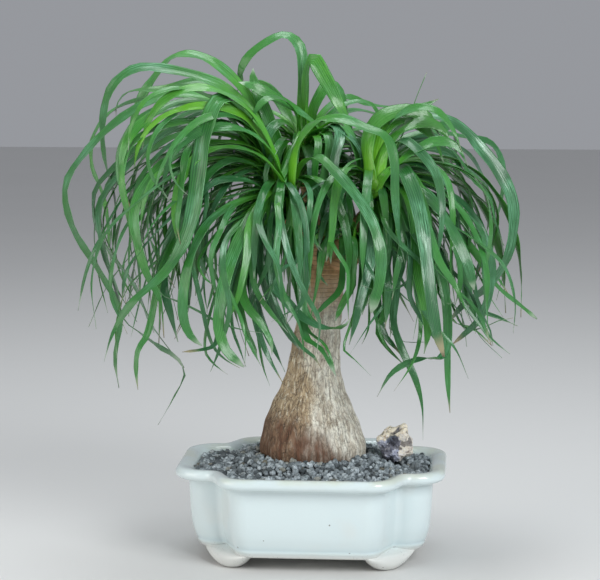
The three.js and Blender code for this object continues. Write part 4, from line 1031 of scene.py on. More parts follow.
# Leaves that the front view shows: head, width, depth of the tip behind the head (less than 0 is in
# front), roll in degrees at the base and the tip, the route from the head to the tip in picture
# points, and for some their tone. A width can be a pair, with the share of it that is left at the tip,
# and a depth can be one, with the depth at the base first.
shownLeaves = [
    ("left", 10.5, 20, (20, 62), [(262, 130), (225, 88), (170, 70), (135, 69), (112, 87), (103, 120),
        (105, 160), (115, 200), (113, 245), (108, 275)]),
    ("left", 10.5, -20, (15, 60), [(250, 125), (205, 98), (165, 96), (125, 116), (88, 150), (66, 185),
        (72, 225), (100, 272), (120, 312), (115, 360), (119, 388)]),
    ("left", 9.5, 50, (15, 55), [(255, 120), (215, 99), (160, 97), (115, 109), (94, 135), (92, 165),
        (103, 195), (109, 235), (107, 262)]),
    ("left", 11.5, 60, (25, 50), [(263, 128), (243, 90), (205, 58), (175, 56), (154, 78), (138, 105),
        (132, 140), (136, 170)]),
    ("left", 9.5, 35, (15, 50), [(258, 130), (232, 98), (200, 82), (160, 89), (128, 92), (117, 104),
        (116, 116)]),
    ("left", 9.5, -35, (20, 55), [(255, 135), (215, 110), (175, 106), (142, 119), (124, 142), (119, 170),
        (125, 195), (134, 215)]),
    ("left", 8.5, -55, (15, 50), [(252, 140), (215, 122), (170, 124), (138, 138), (125, 158), (122, 185),
        (128, 215), (133, 250)]),
    ("left", 8.5, 85, (15, 50), [(252, 142), (210, 128), (165, 141), (142, 160), (134, 185), (136, 215)]),
    ("left", (14, 0.2), -88, (10, 60), [(262, 128), (238, 102), (220, 99), (206, 128), (198, 175),
        (193, 210), (183, 243), (165, 272), (130, 305), (112, 335), (104, 362)], 0.42),
    ("left", 10.5, -72, (10, 50), [(258, 150), (215, 143), (172, 158), (147, 183), (134, 213), (137, 240),
        (146, 272), (160, 300), (164, 338)]),
    ("left", (10.5, 0.1), 8, (10, 40), [(255, 140), (205, 126), (150, 140), (118, 165), (96, 190),
        (96, 225), (112, 255), (135, 285), (150, 322), (172, 353), (185, 371), (174, 397),
        (158, 425)], 0.35),
    ("left", (9.5, 0.45), -100, (10, 30), [(262, 195), (235, 204), (210, 221), (194, 248), (185, 280),
        (183, 315), (190, 335), (202, 346)], 0.5),
    ("left", (11.5, 0.5), -112, (10, 20), [(272, 196), (255, 212), (240, 238), (228, 270), (220, 305),
        (219, 328), (226, 350), (244, 367)], 0.55),
    ("left", 8, -84, (10, 25), [(275, 215), (262, 243), (247, 262), (242, 290), (247, 306), (262, 325),
        (271, 342), (272, 355)]),
    ("left", 9.5, -92, (5, 15), [(287, 206), (275, 226), (268, 252), (271, 280), (285, 300), (303, 318),
        (325, 328), (343, 327), (351, 318)]),
    ("left", 7.5, -96, (0, 10), [(295, 214), (298, 240), (301, 275), (303, 312), (306, 338), (320, 348),
        (329, 362), (336, 376)], 0.4),
    ("left", (11.5, 0.55), -104, (10, 25), [(300, 168), (316, 157), (335, 172), (356, 196), (373, 224),
        (381, 255), (379, 285), (371, 313)], 0.4),
    ("left", 10.5, -80, (20, 40), [(293, 165), (303, 138), (320, 121), (342, 119), (366, 128), (386, 137),
        (394, 160), (395, 195), (399, 235), (406, 268)], 1.1),
    ("left", 11.5, 24, (50, 65), [(280, 155), (268, 118), (258, 93), (253, 78), (253, 68)], 0.8),
    ("left", 9.5, -40, (15, 35), [(265, 163), (245, 151), (215, 146), (190, 152), (172, 172), (170, 195)]),
    ("left", 8.5, 70, (15, 45), [(262, 150), (240, 132), (215, 131), (190, 143), (172, 160), (160, 185),
        (158, 215), (165, 240)]),
    ("left", 10.5, 95, (15, 40), [(262, 140), (240, 114), (210, 108), (180, 118), (155, 140), (146, 170),
        (150, 205), (160, 240)]),
    ("left", 9.5, 105, (10, 30), [(265, 178), (245, 170), (220, 167), (200, 175), (185, 200), (178, 235),
        (184, 265)]),
    ("left", 8.5, -66, (10, 30), [(265, 188), (245, 180), (215, 182), (192, 205), (180, 235), (178, 262)]),
    ("left", 8, 62, (10, 40), [(270, 175), (240, 175), (210, 195), (190, 225), (200, 252), (225, 268),
        (262, 270)]),
    ("left", 8.5, -64, (5, 30), [(276, 205), (262, 222), (252, 250), (251, 280), (256, 305), (265, 330),
        (277, 355), (285, 372)]),
    ("left", 7, 44, (5, 30), [(270, 212), (250, 235), (238, 270), (234, 300), (240, 330), (249, 356)]),
    ("mid", 10.5, 10, (62, 50), [(302, 110), (303, 75), (299, 46), (286, 35), (265, 43), (247, 58),
        (240, 75), (246, 88)], 0.7),
    ("mid", 13, -24, (40, 55), [(305, 110), (307, 72), (312, 58), (324, 76), (338, 102), (349, 127),
        (352, 150)]),
    ("mid", 11.5, -34, (30, 60), [(318, 130), (306, 117), (285, 103), (265, 92), (250, 85), (238, 82)]),
    ("mid", 10.5, 20, (40, 50), [(312, 115), (322, 92), (330, 82), (340, 92), (346, 118), (344, 150)]),
    ("mid", 7, 40, (20, 40), [(318, 120), (345, 97), (368, 104), (392, 107), (431, 105)]),
    ("mid", 7, 14, (20, 50), [(318, 130), (338, 108), (360, 101), (374, 106), (379, 122), (380, 134)]),
    ("mid", 9.5, -62, (10, 20), [(318, 140), (333, 125), (340, 132), (335, 158), (333, 180), (338, 198),
        (344, 208)]),
    ("mid", 9.5, -48, (10, 20), [(318, 138), (338, 122), (351, 135), (358, 160), (363, 190)]),
    ("mid", 9.5, 58, (30, 50), [(293, 130), (286, 112), (275, 95), (262, 85), (245, 85), (230, 98)]),
    ("mid", 8, 80, (30, 40), [(320, 125), (355, 110), (395, 118), (425, 106), (439, 99)]),
    ("mid", 10.5, -44, (20, 30), [(297, 135), (283, 122), (272, 128), (262, 150), (258, 180), (262, 210)]),
    ("right", 12, -22, (20, 60), [(385, 150), (410, 121), (437, 117), (462, 129), (480, 148), (500, 173),
        (512, 200), (513, 230), (506, 260), (488, 286), (462, 306), (445, 328)]),
    ("right", 8, 48, (15, 55), [(390, 150), (420, 133), (465, 137), (492, 144), (503, 168), (501, 200),
        (494, 232), (492, 262)]),
    ("right", 8, -88, (10, 45), [(385, 155), (402, 140), (420, 152), (436, 174), (442, 205), (440, 240),
        (436, 262)]),
    ("right", (13, 0.5), -118, (5, 20), [(383, 176), (401, 168), (413, 190), (421, 220), (426, 255),
        (430, 290), (436, 330), (444, 357)]),
    ("right", (11.5, 0.5), -84, (10, 35), [(390, 178), (420, 192), (442, 214), (457, 240), (468, 265),
        (474, 290)]),
    ("right", 8.5, -36, (10, 50), [(392, 175), (430, 186), (462, 203), (480, 228), (491, 258), (491, 285),
        (480, 318), (462, 336), (447, 349)]),
    ("right", 8.5, 30, (10, 50), [(392, 160), (425, 148), (450, 153), (463, 172), (485, 190), (493, 215),
        (499, 234), (504, 246)]),
    ("right", 9.5, 76, (15, 50), [(392, 155), (420, 138), (440, 139), (468, 154), (483, 178), (491, 208),
        (493, 240), (490, 268)]),
    ("right", 11.5, 92, (30, 50), [(392, 160), (420, 146), (445, 126), (453, 132), (456, 160), (462, 190),
        (468, 215)]),
    ("right", 9.5, 60, (20, 45), [(385, 150), (400, 131), (420, 127), (440, 140), (452, 165), (460, 195),
        (466, 225), (474, 255)]),
    ("right", 9.5, -58, (10, 40), [(388, 180), (412, 184), (432, 200), (446, 225), (458, 255), (460, 285),
        (455, 306)]),
    ("right", 11.5, -100, (10, 20), [(386, 182), (402, 186), (412, 205), (416, 235), (418, 268),
        (424, 300), (428, 330), (424, 354)]),
    ("right", 8, -70, (5, 20), [(376, 200), (381, 225), (385, 255), (388, 285), (387, 310), (385, 330)]),
    ("right", 8.5, -76, (5, 20), [(371, 205), (372, 235), (370, 265), (362, 295), (356, 320), (349, 345)]),
    ("right", 8.5, 18, (10, 45), [(390, 172), (430, 172), (460, 188), (478, 215), (484, 245), (478, 270),
        (474, 290)]),
    ("right", 7, 110, (10, 50), [(392, 165), (432, 160), (463, 166), (483, 190), (488, 225), (480, 250)]),
    ("right", (9.5, 0.6), -6, (10, 40), [(392, 184), (430, 198), (460, 235), (482, 262), (497, 286),
        (520, 305), (537, 319)], 0.7),
    ("right", 8, -46, (5, 20), [(388, 186), (408, 200), (420, 235), (432, 270), (446, 300), (447, 340),
        (448, 385), (450, 413)]),
    ("right", (8.5, 0.1), -62, (5, 20), [(382, 190), (391, 215), (396, 250), (396, 290), (393, 320),
        (402, 350), (415, 378), (422, 405), (423, 440)]),
    ("right", 7, 52, (10, 40), [(390, 186), (425, 210), (448, 245), (458, 290), (475, 308), (500, 318),
        (517, 326)]),
    ("right", 8.5, 66, (5, 30), [(390, 184), (418, 202), (436, 240), (447, 285), (452, 320), (475, 330),
        (491, 345)]),
    ("right", 9.5, 20, (15, 30), [(366, 160), (355, 140), (345, 138), (336, 150), (333, 175)]),
    ("right", 13, -4, (70, 80), [(372, 165), (373, 145), (375, 128)], 1.0),
    ("right", 11.5, 14, (70, 80), [(377, 165), (380, 140), (384, 122)], 1.0),
    ("low", 7, -40, (5, 20), [(352, 232), (343, 240), (343, 270), (340, 290), (325, 305), (314, 316)]),
    ("low", 7, -34, (5, 20), [(358, 232), (366, 240), (367, 268), (367, 290), (362, 315)]),
    ("low", 8.5, -48, (5, 15), [(345, 222), (333, 215), (331, 232), (323, 252), (318, 280), (308, 330)]),
    ("low", 8, -30, (5, 20), [(360, 235), (376, 248), (384, 280), (386, 310), (378, 330), (385, 345),
        (403, 364)]),
    ("low", 7, 16, (5, 20), [(365, 230), (385, 240), (395, 262), (393, 300), (390, 330), (402, 341),
        (428, 342)]),
]


# More leaves, most of them thin, that the solids leave out: the same columns
moreLeaves = [
    ("right", 3, -30, (10, 40), [(396, 150), (408, 122), (415, 101), (421, 86), (427, 72)]),
    ("left", 4, -30, (10, 40), [(255, 150), (190, 150), (130, 190), (99, 240), (92, 255), (84, 280),
        (78, 311)]),
    ("left", 6.5, -60, (10, 40), [(262, 165), (205, 190), (165, 260), (147, 335), (138, 350), (136, 370),
        (138, 390)]),
    ("left", 7, -95, (10, 30), [(268, 200), (240, 250), (222, 310), (215, 345), (200, 350), (182, 352)]),
    ("left", 3, -90, (10, 30), [(270, 205), (236, 250), (214, 300), (205, 350), (213, 363), (228, 375)]),
    ("left", 4, -98, (5, 20), [(280, 215), (270, 255), (275, 300), (300, 345), (315, 358), (322, 370)]),
    ("left", 3.2, -92, (5, 20), [(288, 212), (292, 270), (308, 330), (325, 345), (333, 365), (336, 375)]),
    ("left", 4.5, -86, (5, 20), [(292, 210), (296, 265), (310, 318), (325, 326), (338, 327), (346, 319)]),
    ("left", 9, -50, (10, 45), [(235, 112), (203, 101), (175, 103), (152, 115), (134, 131), (124, 148),
        (121, 172), (125, 198), (131, 218)]),
    ("left", 2.8, -84, (10, 30), [(236, 131), (206, 128), (188, 136), (176, 147), (170, 160), (172, 175),
        (179, 187), (188, 195)]),
    ("left", 6, -62, (10, 40), [(250, 152), (215, 150), (183, 163), (160, 173), (148, 190), (142, 212),
        (141, 232)]),
    ("left", 5, -68, (10, 40), [(236, 113), (205, 106), (180, 112), (160, 127), (150, 146), (148, 162),
        (154, 180), (163, 192), (171, 203)]),
    ("left", 8, -76, (10, 30), [(228, 122), (202, 135), (187, 152), (183, 175), (180, 200), (177, 225),
        (181, 246)]),
    ("left", 4, -72, (10, 30), [(240, 160), (210, 168), (192, 182), (176, 200), (160, 215), (147, 233),
        (140, 252)]),
    ("left", 7, 22, (10, 40), [(220, 112), (150, 142), (125, 162), (110, 180), (103, 200), (101, 222),
        (106, 244), (112, 264)]),
    ("left", 4.5, -55, (10, 30), [(258, 165), (225, 165), (206, 178), (207, 200), (203, 222), (196, 240)]),
    ("left", (10, 0.4), -28, (10, 40), [(240, 130), (180, 128), (130, 165), (100, 205), (104, 250),
        (117, 290), (124, 320), (142, 334), (160, 347), (176, 357), (184, 368)], 0.3),
    ("left", 2.5, -60, (10, 30), [(258, 175), (200, 200), (158, 250), (143, 290), (137, 312), (131, 337)]),
    ("left", 7, 30, (10, 40), [(240, 140), (170, 130), (120, 180), (103, 225), (118, 262), (131, 280),
        (141, 301), (149, 319), (154, 333)]),
    ("left", 4, -88, (10, 30), [(268, 196), (230, 205), (200, 232), (193, 262), (197, 285), (203, 310),
        (208, 333), (215, 349), (226, 360), (240, 368)]),
    ("left", 3.2, -80, (10, 30), [(262, 190), (205, 205), (165, 250), (156, 285), (163, 295), (182, 303),
        (202, 313), (222, 324), (244, 330), (262, 333)]),
    ("left", 3, -84, (10, 30), [(265, 205), (225, 225), (203, 252), (198, 264), (204, 277), (218, 289)]),
    ("left", 4, -78, (5, 30), [(272, 215), (250, 240), (240, 290), (244, 330), (251, 346), (261, 366)]),
    ("left", 3, -70, (5, 30), [(270, 215), (245, 245), (232, 290), (233, 330), (239, 347), (246, 367)]),
    ("left", 2.6, -84, (5, 20), [(290, 215), (288, 240), (283, 262), (274, 283), (266, 293), (259, 302)]),
    ("left", 3.4, -90, (5, 20), [(297, 220), (302, 245), (296, 262), (285, 267), (276, 279), (268, 298),
        (262, 312)]),
    ("left", 2.4, -86, (5, 20), [(296, 220), (310, 270), (300, 305), (289, 312), (271, 322)]),
    ("left", 6.5, -74, (5, 30), [(280, 212), (262, 240), (252, 290), (258, 330), (268, 356), (284, 385)]),
    ("left", 2.6, -66, (5, 30), [(275, 215), (258, 260), (256, 310), (260, 350), (264, 370), (270, 386)]),
    ("left", 6, -50, (10, 40), [(240, 140), (180, 140), (140, 180), (133, 220), (137, 255), (140, 280),
        (139, 300)]),
    ("left", 7, -20, (10, 40), [(250, 150), (195, 160), (155, 195), (148, 230), (157, 254), (175, 288)]),
    ("left", 6, 40, (10, 40), [(255, 170), (220, 180), (195, 205), (172, 240), (168, 270), (178, 320)]),
    ("left", 5, 60, (10, 40), [(262, 178), (235, 195), (215, 225), (210, 260), (214, 295), (220, 325)]),
    ("left", 7.5, -70, (10, 40), [(268, 150), (238, 118), (205, 118), (178, 140), (160, 172), (152, 205)]),
    ("left", 7, -48, (10, 50), [(262, 140), (222, 104), (180, 88), (148, 98), (132, 124), (128, 152)]),
    ("left", 7.5, -90, (10, 30), [(275, 190), (262, 200), (250, 226), (246, 262), (238, 296), (228, 322)]),
    ("left", 7.5, -60, (10, 40), [(262, 170), (232, 160), (206, 178), (196, 214), (200, 252), (210, 282)]),
    ("mid", 5.5, -30, (10, 40), [(322, 140), (355, 130), (389, 123), (405, 113), (420, 105), (438, 99)]),
    ("mid", 8.5, -52, (20, 50), [(300, 130), (294, 110), (282, 99), (268, 98), (257, 108), (250, 126)]),
    ("mid", 8, -56, (10, 30), [(314, 146), (326, 132), (330, 146), (324, 176), (318, 205), (316, 232)]),
    ("mid", 8, -50, (10, 30), [(300, 148), (288, 140), (278, 152), (276, 180), (280, 208), (284, 232)]),
    ("right", 7.5, -96, (5, 20), [(386, 190), (425, 235), (446, 300), (443, 357), (425, 358), (405, 364),
        (390, 375), (377, 397)]),
    ("right", 4.5, -20, (10, 40), [(390, 165), (430, 140), (450, 148), (475, 182), (489, 196), (495, 220),
        (503, 244)]),
    ("right", 4.5, -50, (10, 40), [(392, 180), (440, 210), (470, 270), (480, 310), (490, 330),
        (493, 346)]),
    ("right", 3.5, -16, (10, 40), [(392, 182), (440, 220), (470, 280), (483, 310), (500, 318),
        (518, 326)]),
    ("right", 3.5, -60, (10, 40), [(390, 186), (430, 230), (462, 300), (493, 340), (510, 354)]),
    ("right", 8.5, -56, (15, 50), [(378, 150), (392, 122), (414, 108), (436, 110), (452, 128),
        (462, 152)]),
    ("right", 8, -74, (10, 30), [(368, 176), (352, 166), (340, 178), (334, 205), (332, 234), (326, 262)]),
    ("right", 8, -66, (10, 30), [(378, 188), (384, 200), (388, 228), (386, 258), (378, 284), (366, 306)]),
    ("right", 7.5, -84, (10, 30), [(384, 180), (398, 190), (404, 215), (402, 248), (396, 276),
        (392, 300)]),
    ("right", 7.5, -40, (10, 40), [(388, 172), (418, 164), (444, 180), (456, 208), (460, 240),
        (456, 268)]),
    ("right", 3, -62, (5, 20), [(368, 160), (350, 163), (336, 180), (324, 195), (312, 208)]),
    ("right", 3.4, -58, (5, 20), [(362, 172), (345, 170), (330, 180), (316, 186), (302, 198), (292, 212)]),
    ("right", 3, -10, (10, 30), [(373, 155), (375, 130), (384, 116), (400, 112), (421, 114)]),
    ("right", 5, -32, (10, 40), [(392, 182), (425, 194), (446, 204), (462, 220), (474, 238), (484, 256)]),
    ("right", 11, -44, (20, 40), [(368, 188), (376, 180), (391, 180), (404, 190), (412, 210),
        (416, 232)], 0.35),
    ("right", 3, -88, (5, 20), [(392, 190), (415, 215), (424, 242), (418, 266), (410, 279), (398, 288),
        (380, 291), (361, 285)]),
    ("right", 3.4, -70, (5, 20), [(385, 195), (405, 235), (402, 272), (386, 302), (371, 322), (350, 354)]),
    ("right", 2.4, -66, (5, 20), [(378, 200), (372, 260), (352, 320), (344, 350), (352, 357), (371, 376)]),
    ("right", 2.5, -24, (10, 30), [(390, 186), (430, 240), (450, 300), (466, 329), (482, 328), (498, 321),
        (513, 318)]),
    ("right", 2.5, -20, (10, 30), [(392, 184), (440, 225), (476, 270), (490, 297), (503, 317)]),
    ("right", 2.2, -50, (5, 20), [(388, 192), (412, 240), (421, 285), (418, 312), (413, 340)]),
    ("right", 2.4, -40, (5, 20), [(384, 196), (392, 240), (390, 280), (402, 295), (418, 308)]),
    ("right", 3, -60, (5, 20), [(392, 186), (425, 225), (438, 270), (438, 292), (445, 303), (456, 302)]),
    ("right", 6, -50, (5, 20), [(380, 196), (384, 245), (378, 300), (385, 335), (394, 346), (401, 355)]),
    ("right", 3.6, -54, (5, 20), [(378, 198), (372, 240), (372, 290), (378, 325), (386, 346), (404, 364)]),
    ("right", 2.6, -40, (5, 20), [(374, 200), (378, 250), (370, 300), (368, 330), (362, 344)]),
    ("right", 9.5, 10, (15, 40), [(392, 176), (428, 180), (450, 200), (461, 222), (470, 242), (476, 262)]),
    ("right", 8, -46, (10, 40), [(388, 180), (405, 170), (418, 185), (426, 205), (430, 228), (434, 250)]),
    ("right", 6.5, 30, (10, 30), [(388, 180), (400, 215), (402, 250), (394, 290), (392, 320), (390, 338)]),
    ("right", 7, 60, (10, 40), [(392, 160), (430, 150), (470, 170), (492, 200), (493, 232), (490, 262)]),
    ("right", 17, (-44, -24), (82, 30), [(369, 186), (367, 164), (366, 144), (372, 126), (388, 113),
        (410, 110), (430, 120), (441, 138)], 1.4),
    ("right", 17, (-48, -28), (80, 35), [(374, 186), (378, 164), (385, 145), (399, 130), (419, 121),
        (440, 127), (452, 146)], 1.4),
    ("right", 17, (-46, -18), (82, 30), [(371, 187), (372, 166), (375, 146), (382, 128), (398, 118),
        (420, 124), (436, 142), (444, 164)], 1.45),
    ("right", 12, (-44, -56), (76, 30), [(378, 186), (387, 174), (400, 162), (416, 150), (436, 141),
        (456, 146), (468, 166)], 1.3),
    ("right", 6.5, -46, (10, 20), [(358, 192), (344, 186), (332, 196), (326, 216), (322, 240)]),
    ("low", 6, -38, (5, 20), [(350, 226), (338, 212), (328, 214), (322, 230), (318, 250)]),
    ("left", 10.5, (-24, -40), (20, 50), [(278, 166), (268, 140), (255, 118), (238, 102), (215, 90),
        (190, 88), (164, 100), (148, 122), (142, 150)], 0.92),
    ("left", 9.5, (-30, -55), (20, 50), [(281, 174), (272, 153), (258, 138), (240, 129), (216, 127),
        (194, 134), (174, 152), (164, 180), (161, 212)], 1.05),
    ("left", 9, (-34, -60), (20, 40), [(282, 180), (268, 162), (250, 151), (230, 147), (206, 151),
        (190, 164), (178, 188), (174, 216), (178, 246)], 0.9),
    ("left", 8.5, (-20, -44), (20, 60), [(274, 158), (258, 132), (240, 114), (214, 106), (184, 108),
        (158, 120), (140, 142), (133, 172)], 1.0),
    ("left", 9, -40, (10, 20), [(297, 188), (306, 178), (316, 188), (322, 210), (327, 240)]),
    ("mid", 9, -66, (10, 20), [(308, 150), (312, 168), (311, 195), (315, 225), (320, 250)]),
    ("mid", 8, -62, (10, 20), [(322, 148), (329, 172), (327, 200), (322, 228), (317, 256)]),
    ("right", 8, -54, (10, 20), [(364, 190), (352, 182), (342, 190), (337, 212), (334, 240)]),
    ("right", 7, -50, (10, 20), [(362, 196), (350, 196), (344, 212), (346, 235), (350, 262)]),
    ("low", 9, (-12, -30), (80, 40), [(354, 238), (357, 222), (364, 214), (374, 216), (380, 232)], 1.3),
    ("low", 9, (-14, -34), (80, 40), [(350, 240), (347, 224), (340, 216), (332, 220), (328, 238)], 1.25),
    ("left", 12, (-24, -44), (80, 40), [(290, 190), (291, 168), (296, 146), (305, 130), (318, 121),
        (332, 119), (344, 126)], 1.5),
    ("low", 7, -42, (5, 20), [(348, 236), (336, 232), (330, 244), (330, 262)]),
    ("low", 8, -44, (5, 20), [(352, 238), (350, 262), (352, 285), (343, 303), (335, 321)], 0.7),
    ("low", 6, -36, (5, 20), [(358, 240), (362, 262), (360, 290), (354, 315), (350, 340)]),
    ("low", 4.5, -40, (5, 20), [(350, 226), (335, 226), (320, 234), (306, 250), (300, 268)]),
    ("low", 4, -34, (5, 20), [(350, 226), (338, 220), (322, 226), (310, 240)]),
    ("left", (8, 0.45), -70, (5, 25), [(268, 196), (258, 230), (262, 270), (272, 306), (286, 330),
        (300, 350)]),
    ("left", (7.5, 0.5), -60, (5, 30), [(262, 196), (240, 235), (236, 280), (243, 320), (252, 344),
        (257, 358)]),
    ("left", (9, 0.4), -44, (10, 40), [(255, 180), (200, 190), (168, 240), (164, 285), (170, 312),
        (178, 342)]),
    ("right", (8, 0.6), -30, (10, 40), [(392, 184), (440, 220), (462, 262), (470, 300), (482, 325),
        (492, 342)]),
]

# Leaves placed by rule. The first six rows are the ones that the solids have too; the rest fill up
# the heads: count, headings they are spread over (0 right, 90 behind), length, width, start slope, wander
ruleLeaves = [
    {"head": "left", "count": 10, "heading": [25, 170], "length": [190, 270], "width": 10},
    {"head": "left", "count": 4, "heading": [200, 330], "length": [120, 190], "width": 8},
    {"head": "right", "count": 10, "heading": [5, 155], "length": [190, 270], "width": 10},
    {"head": "right", "count": 4, "heading": [215, 350], "length": [120, 190], "width": 8},
    {"head": "mid", "count": 5, "heading": [30, 165], "length": [210, 260], "width": 10},
    {"head": "low", "count": 4, "heading": [10, 170], "length": [110, 150], "width": 7.5},
    {"head": "left", "count": 15, "heading": [20, 160], "length": [190, 310], "width": 7, "wander": 0.5},
    {"head": "left", "count": 20, "heading": [145, 200], "length": [220, 350], "width": 6, "wander": 0.6},
    {"head": "left", "count": 20, "heading": [185, 275], "length": [150, 250], "width": 5, "slope": [5, 45],
        "wander": 0.8},
    {"head": "left", "count": 7, "heading": [262, 350], "length": [80, 150], "width": 4.5, "wander": 0.7},
    {"head": "right", "count": 13, "heading": [30, 160], "length": [180, 270], "width": 7, "wander": 0.5},
    {"head": "right", "count": 10, "heading": [-50, 18], "length": [160, 240], "width": 6.5, "wander": 0.6},
    {"head": "right", "count": 13, "heading": [-85, -10], "length": [140, 230], "width": 5, "slope": [5, 45],
        "wander": 0.8},
    {"head": "right", "count": 7, "heading": [195, 275], "length": [80, 150], "width": 4.5, "wander": 0.7},
    {"head": "mid", "count": 12, "heading": [0, 200], "length": [140, 250], "width": 7, "wander": 0.5},
    {"head": "mid", "count": 8, "heading": [200, 350], "length": [110, 190], "width": 5.5, "wander": 0.7},
    {"head": "low", "count": 16, "heading": [0, 360], "length": [80, 160], "width": 4.5, "wander": 0.8},
    {"head": "left", "count": 6, "heading": [0, 360], "length": [80, 140], "width": 7, "slope": [74, 88]},
    {"head": "right", "count": 7, "heading": [0, 360], "length": [80, 140], "width": 7, "slope": [74, 88]},
    {"head": "mid", "count": 6, "heading": [0, 360], "length": [70, 130], "width": 7, "slope": [74, 88]},
]


def lehmerDraws(state):
    # Repeatable draws from 0 to 1, the same ones as in the solids: each state is the last one times
    # 7^5, modulo 2^31 - 1
    while True:
        state = state * 16807 % 2147483647
        yield state / 2147483647


draws = lehmerDraws(7)


def drawBetween(low, high):
    return low + (high - low) * next(draws)


def clearOfTrunk(point):
    # Keeps a leaf point outside the trunk, above the gravel and not far in front of the pot
    halfWidth, shift = trunkAt(point[2])
    x, y = point[0] - shift, point[1]
    least = halfWidth + leaf["trunkClearance"]
    if point[2] < leaf["trunkTop"] and np.hypot(x, y) < least:
        x, y = np.array([x, y]) * least / np.hypot(x, y)
    if y <= leaf["frontmost"]:
        y = leaf["frontmost"] + (y - leaf["frontmost"]) * leaf["pastFrontmost"]
    return np.array([x + shift, y, max(point[2], leaf["lowestPoint"])])


def shownLine(head, away, route):
    # Middle line of a leaf that the view shows: its depth eases out to that of the tip, or from the
    # first to the second of a pair of depths
    start = headPoint(head)
    share = np.arange(1, len(route) + 1) / len(route)
    near, far = away if isinstance(away, tuple) else (0, away)
    depth = start[1] + near + (far - near) * share * (2 - share)
    points = [clearOfTrunk(fromPicture(place, deep)) for place, deep in zip(route, depth)]
    way = (points[0] - start) * [1, 1, 0]
    lead = unit(way) * min(np.linalg.norm(way), heads[head]["thick"] + 2)
    return np.array([start, start + lead + [0, 0, 8], *points])


def ruleLine(head, heading, length, slope, wander):
    # Middle line of a leaf placed by rule: it leaves the head steeply and its slope falls along it.
    # A leaf that wanders also swings to and fro as it hangs.
    points = [headPoint(head)]
    first = np.radians(drawBetween(*slope))
    last = np.radians(drawBetween(*leaf["endSlope"]))
    sway = drawBetween(-leaf["sway"], leaf["sway"])
    swings = [2 * np.pi * next(draws) for _ in range(2)] if wander else [0, 0]
    step = length / leaf["linePieces"]
    for k in range(leaf["linePieces"]):
        t = (k + 0.5) / leaf["linePieces"]
        fallen = min(1, 1.9 * t - 0.9 * t * t)
        rise = first + (last - first) * fallen + wander * t * np.sin(6 * t + swings[0])
        turn = heading + sway * t * t + 2 * wander * t * np.sin(5 * t + swings[1])
        way = np.array([np.cos(rise) * np.cos(turn), np.cos(rise) * np.sin(turn), np.sin(rise)])
        following = points[-1] + way * step
        if following[2] < leaf["lowestPoint"]:
            break
        points.append(clearOfTrunk(following))
    return np.array(points)


def strapLeaf(line, width, roll, tone, dry, seed):
    # Strap leaf: half width times a base that opens and a tip that narrows, early to a point where
    # little of the width is left and late where much is; across it a shallow channel that flattens
    # along the leaf, edges that ripple, and two faces that meet in a thin edge. It is laid flat across
    # the line's own plan, then rolled and twisted along it.
    rng = np.random.default_rng(seed)
    phase = rng.uniform(0, 2 * np.pi, 3)
    width, left = width if isinstance(width, tuple) else (width, rng.uniform(*leaf["tipWidth"]))
    blunt = np.clip((left - leaf["pointed"]) / 0.3, 0, 1)
    curve, share = curveThrough(line)
    length = np.sum(np.linalg.norm(np.diff(curve, axis=0), axis=1))
    rows = int(np.clip(length / leaf["rowLength"], *leaf["rows"]))
    places, t = evenSteps(curve, rows, share)
    tangent = unit(np.gradient(places, axis=0))
    plan = line[:, :2] - line[0, :2]
    reach = plan[np.argmax(np.hypot(*plan.T))]
    across = unit(np.array([-reach[1], reach[0], 0]))
    across = across if across[1] <= 0 else -across
    side = np.sign(reach[0] * across[1] - reach[1] * across[0]) or 1
    flat = unit(across - tangent * (tangent @ across)[:, None])
    normal = np.cross(tangent, flat) * side
    twist = leaf["twist"] * (np.sin(7.5 * t + phase[0]) + 0.5 * np.sin(17 * t + phase[1])) * t
    angle = np.radians(roll[0] + (roll[1] - roll[0]) * t + twist)[:, None]
    rolled = flat * np.cos(angle) - normal * np.sin(angle)
    thick = np.cross(tangent, rolled)
    upper = np.sign(np.sum(thick[: rows // 2, 2])) or 1
    opened = leaf["baseWidth"] + (1 - leaf["baseWidth"]) * smoothStep(t, 0, 0.25)
    narrowed = 1 - (1 - left) * smoothStep(t, 0.5, 1.12) ** 1.2
    pointed = 1 - (0.94 - 0.14 * blunt) * smoothStep(t, 0.78 + 0.18 * blunt, 1.0) ** 1.4
    half = leaf["fullness"] * width / 2 * opened * narrowed * pointed * (1 + 0.05 * np.sin(9 * t + phase[1]))
    s = np.sin(np.linspace(-1, 1, leaf["across"]) * np.pi / 2)
    section = np.concatenate([s, s[-2:0:-1]])
    face = np.concatenate([np.ones(len(s)), -np.ones(len(s) - 2)]) * np.sqrt(1 - section ** 2)
    channel = leaf["channel"] * width * (1 - smoothStep(t, 0.2, 0.85)) + leaf["tailChannel"] * half
    waves = np.sin(2 * np.pi * t * length / leaf["rippleLength"] + phase[2]) * smoothStep(t, 0.1, 0.4)
    ripple = leaf["ripple"] * width * waves[:, None] * section ** 2 * np.sign(section)
    body = leaf["thickness"] * (1.5 - 0.9 * t)[:, None] / 2 * face
    lift = upper * channel[:, None] * (np.abs(section) ** 1.5 - 0.4) + ripple + body
    sideways = rolled[:, None] * (half[:, None] * section)[..., None]
    rings = places[:, None] + sideways + thick[:, None] * lift[..., None]
    points, faces = closedLoft(rings)
    fields = {"tone": tone, "dry": dry}
    for key, values, ends in (("along", np.linspace(0, 1, rows)[:, None], [0, 1]),
                              ("across", section, [0, 0]),
                              ("upper", face * upper, [0, 0])):
        fields[key] = np.append(np.broadcast_to(values, rings.shape[:2]).ravel(), ends)
    return points, faces, fields


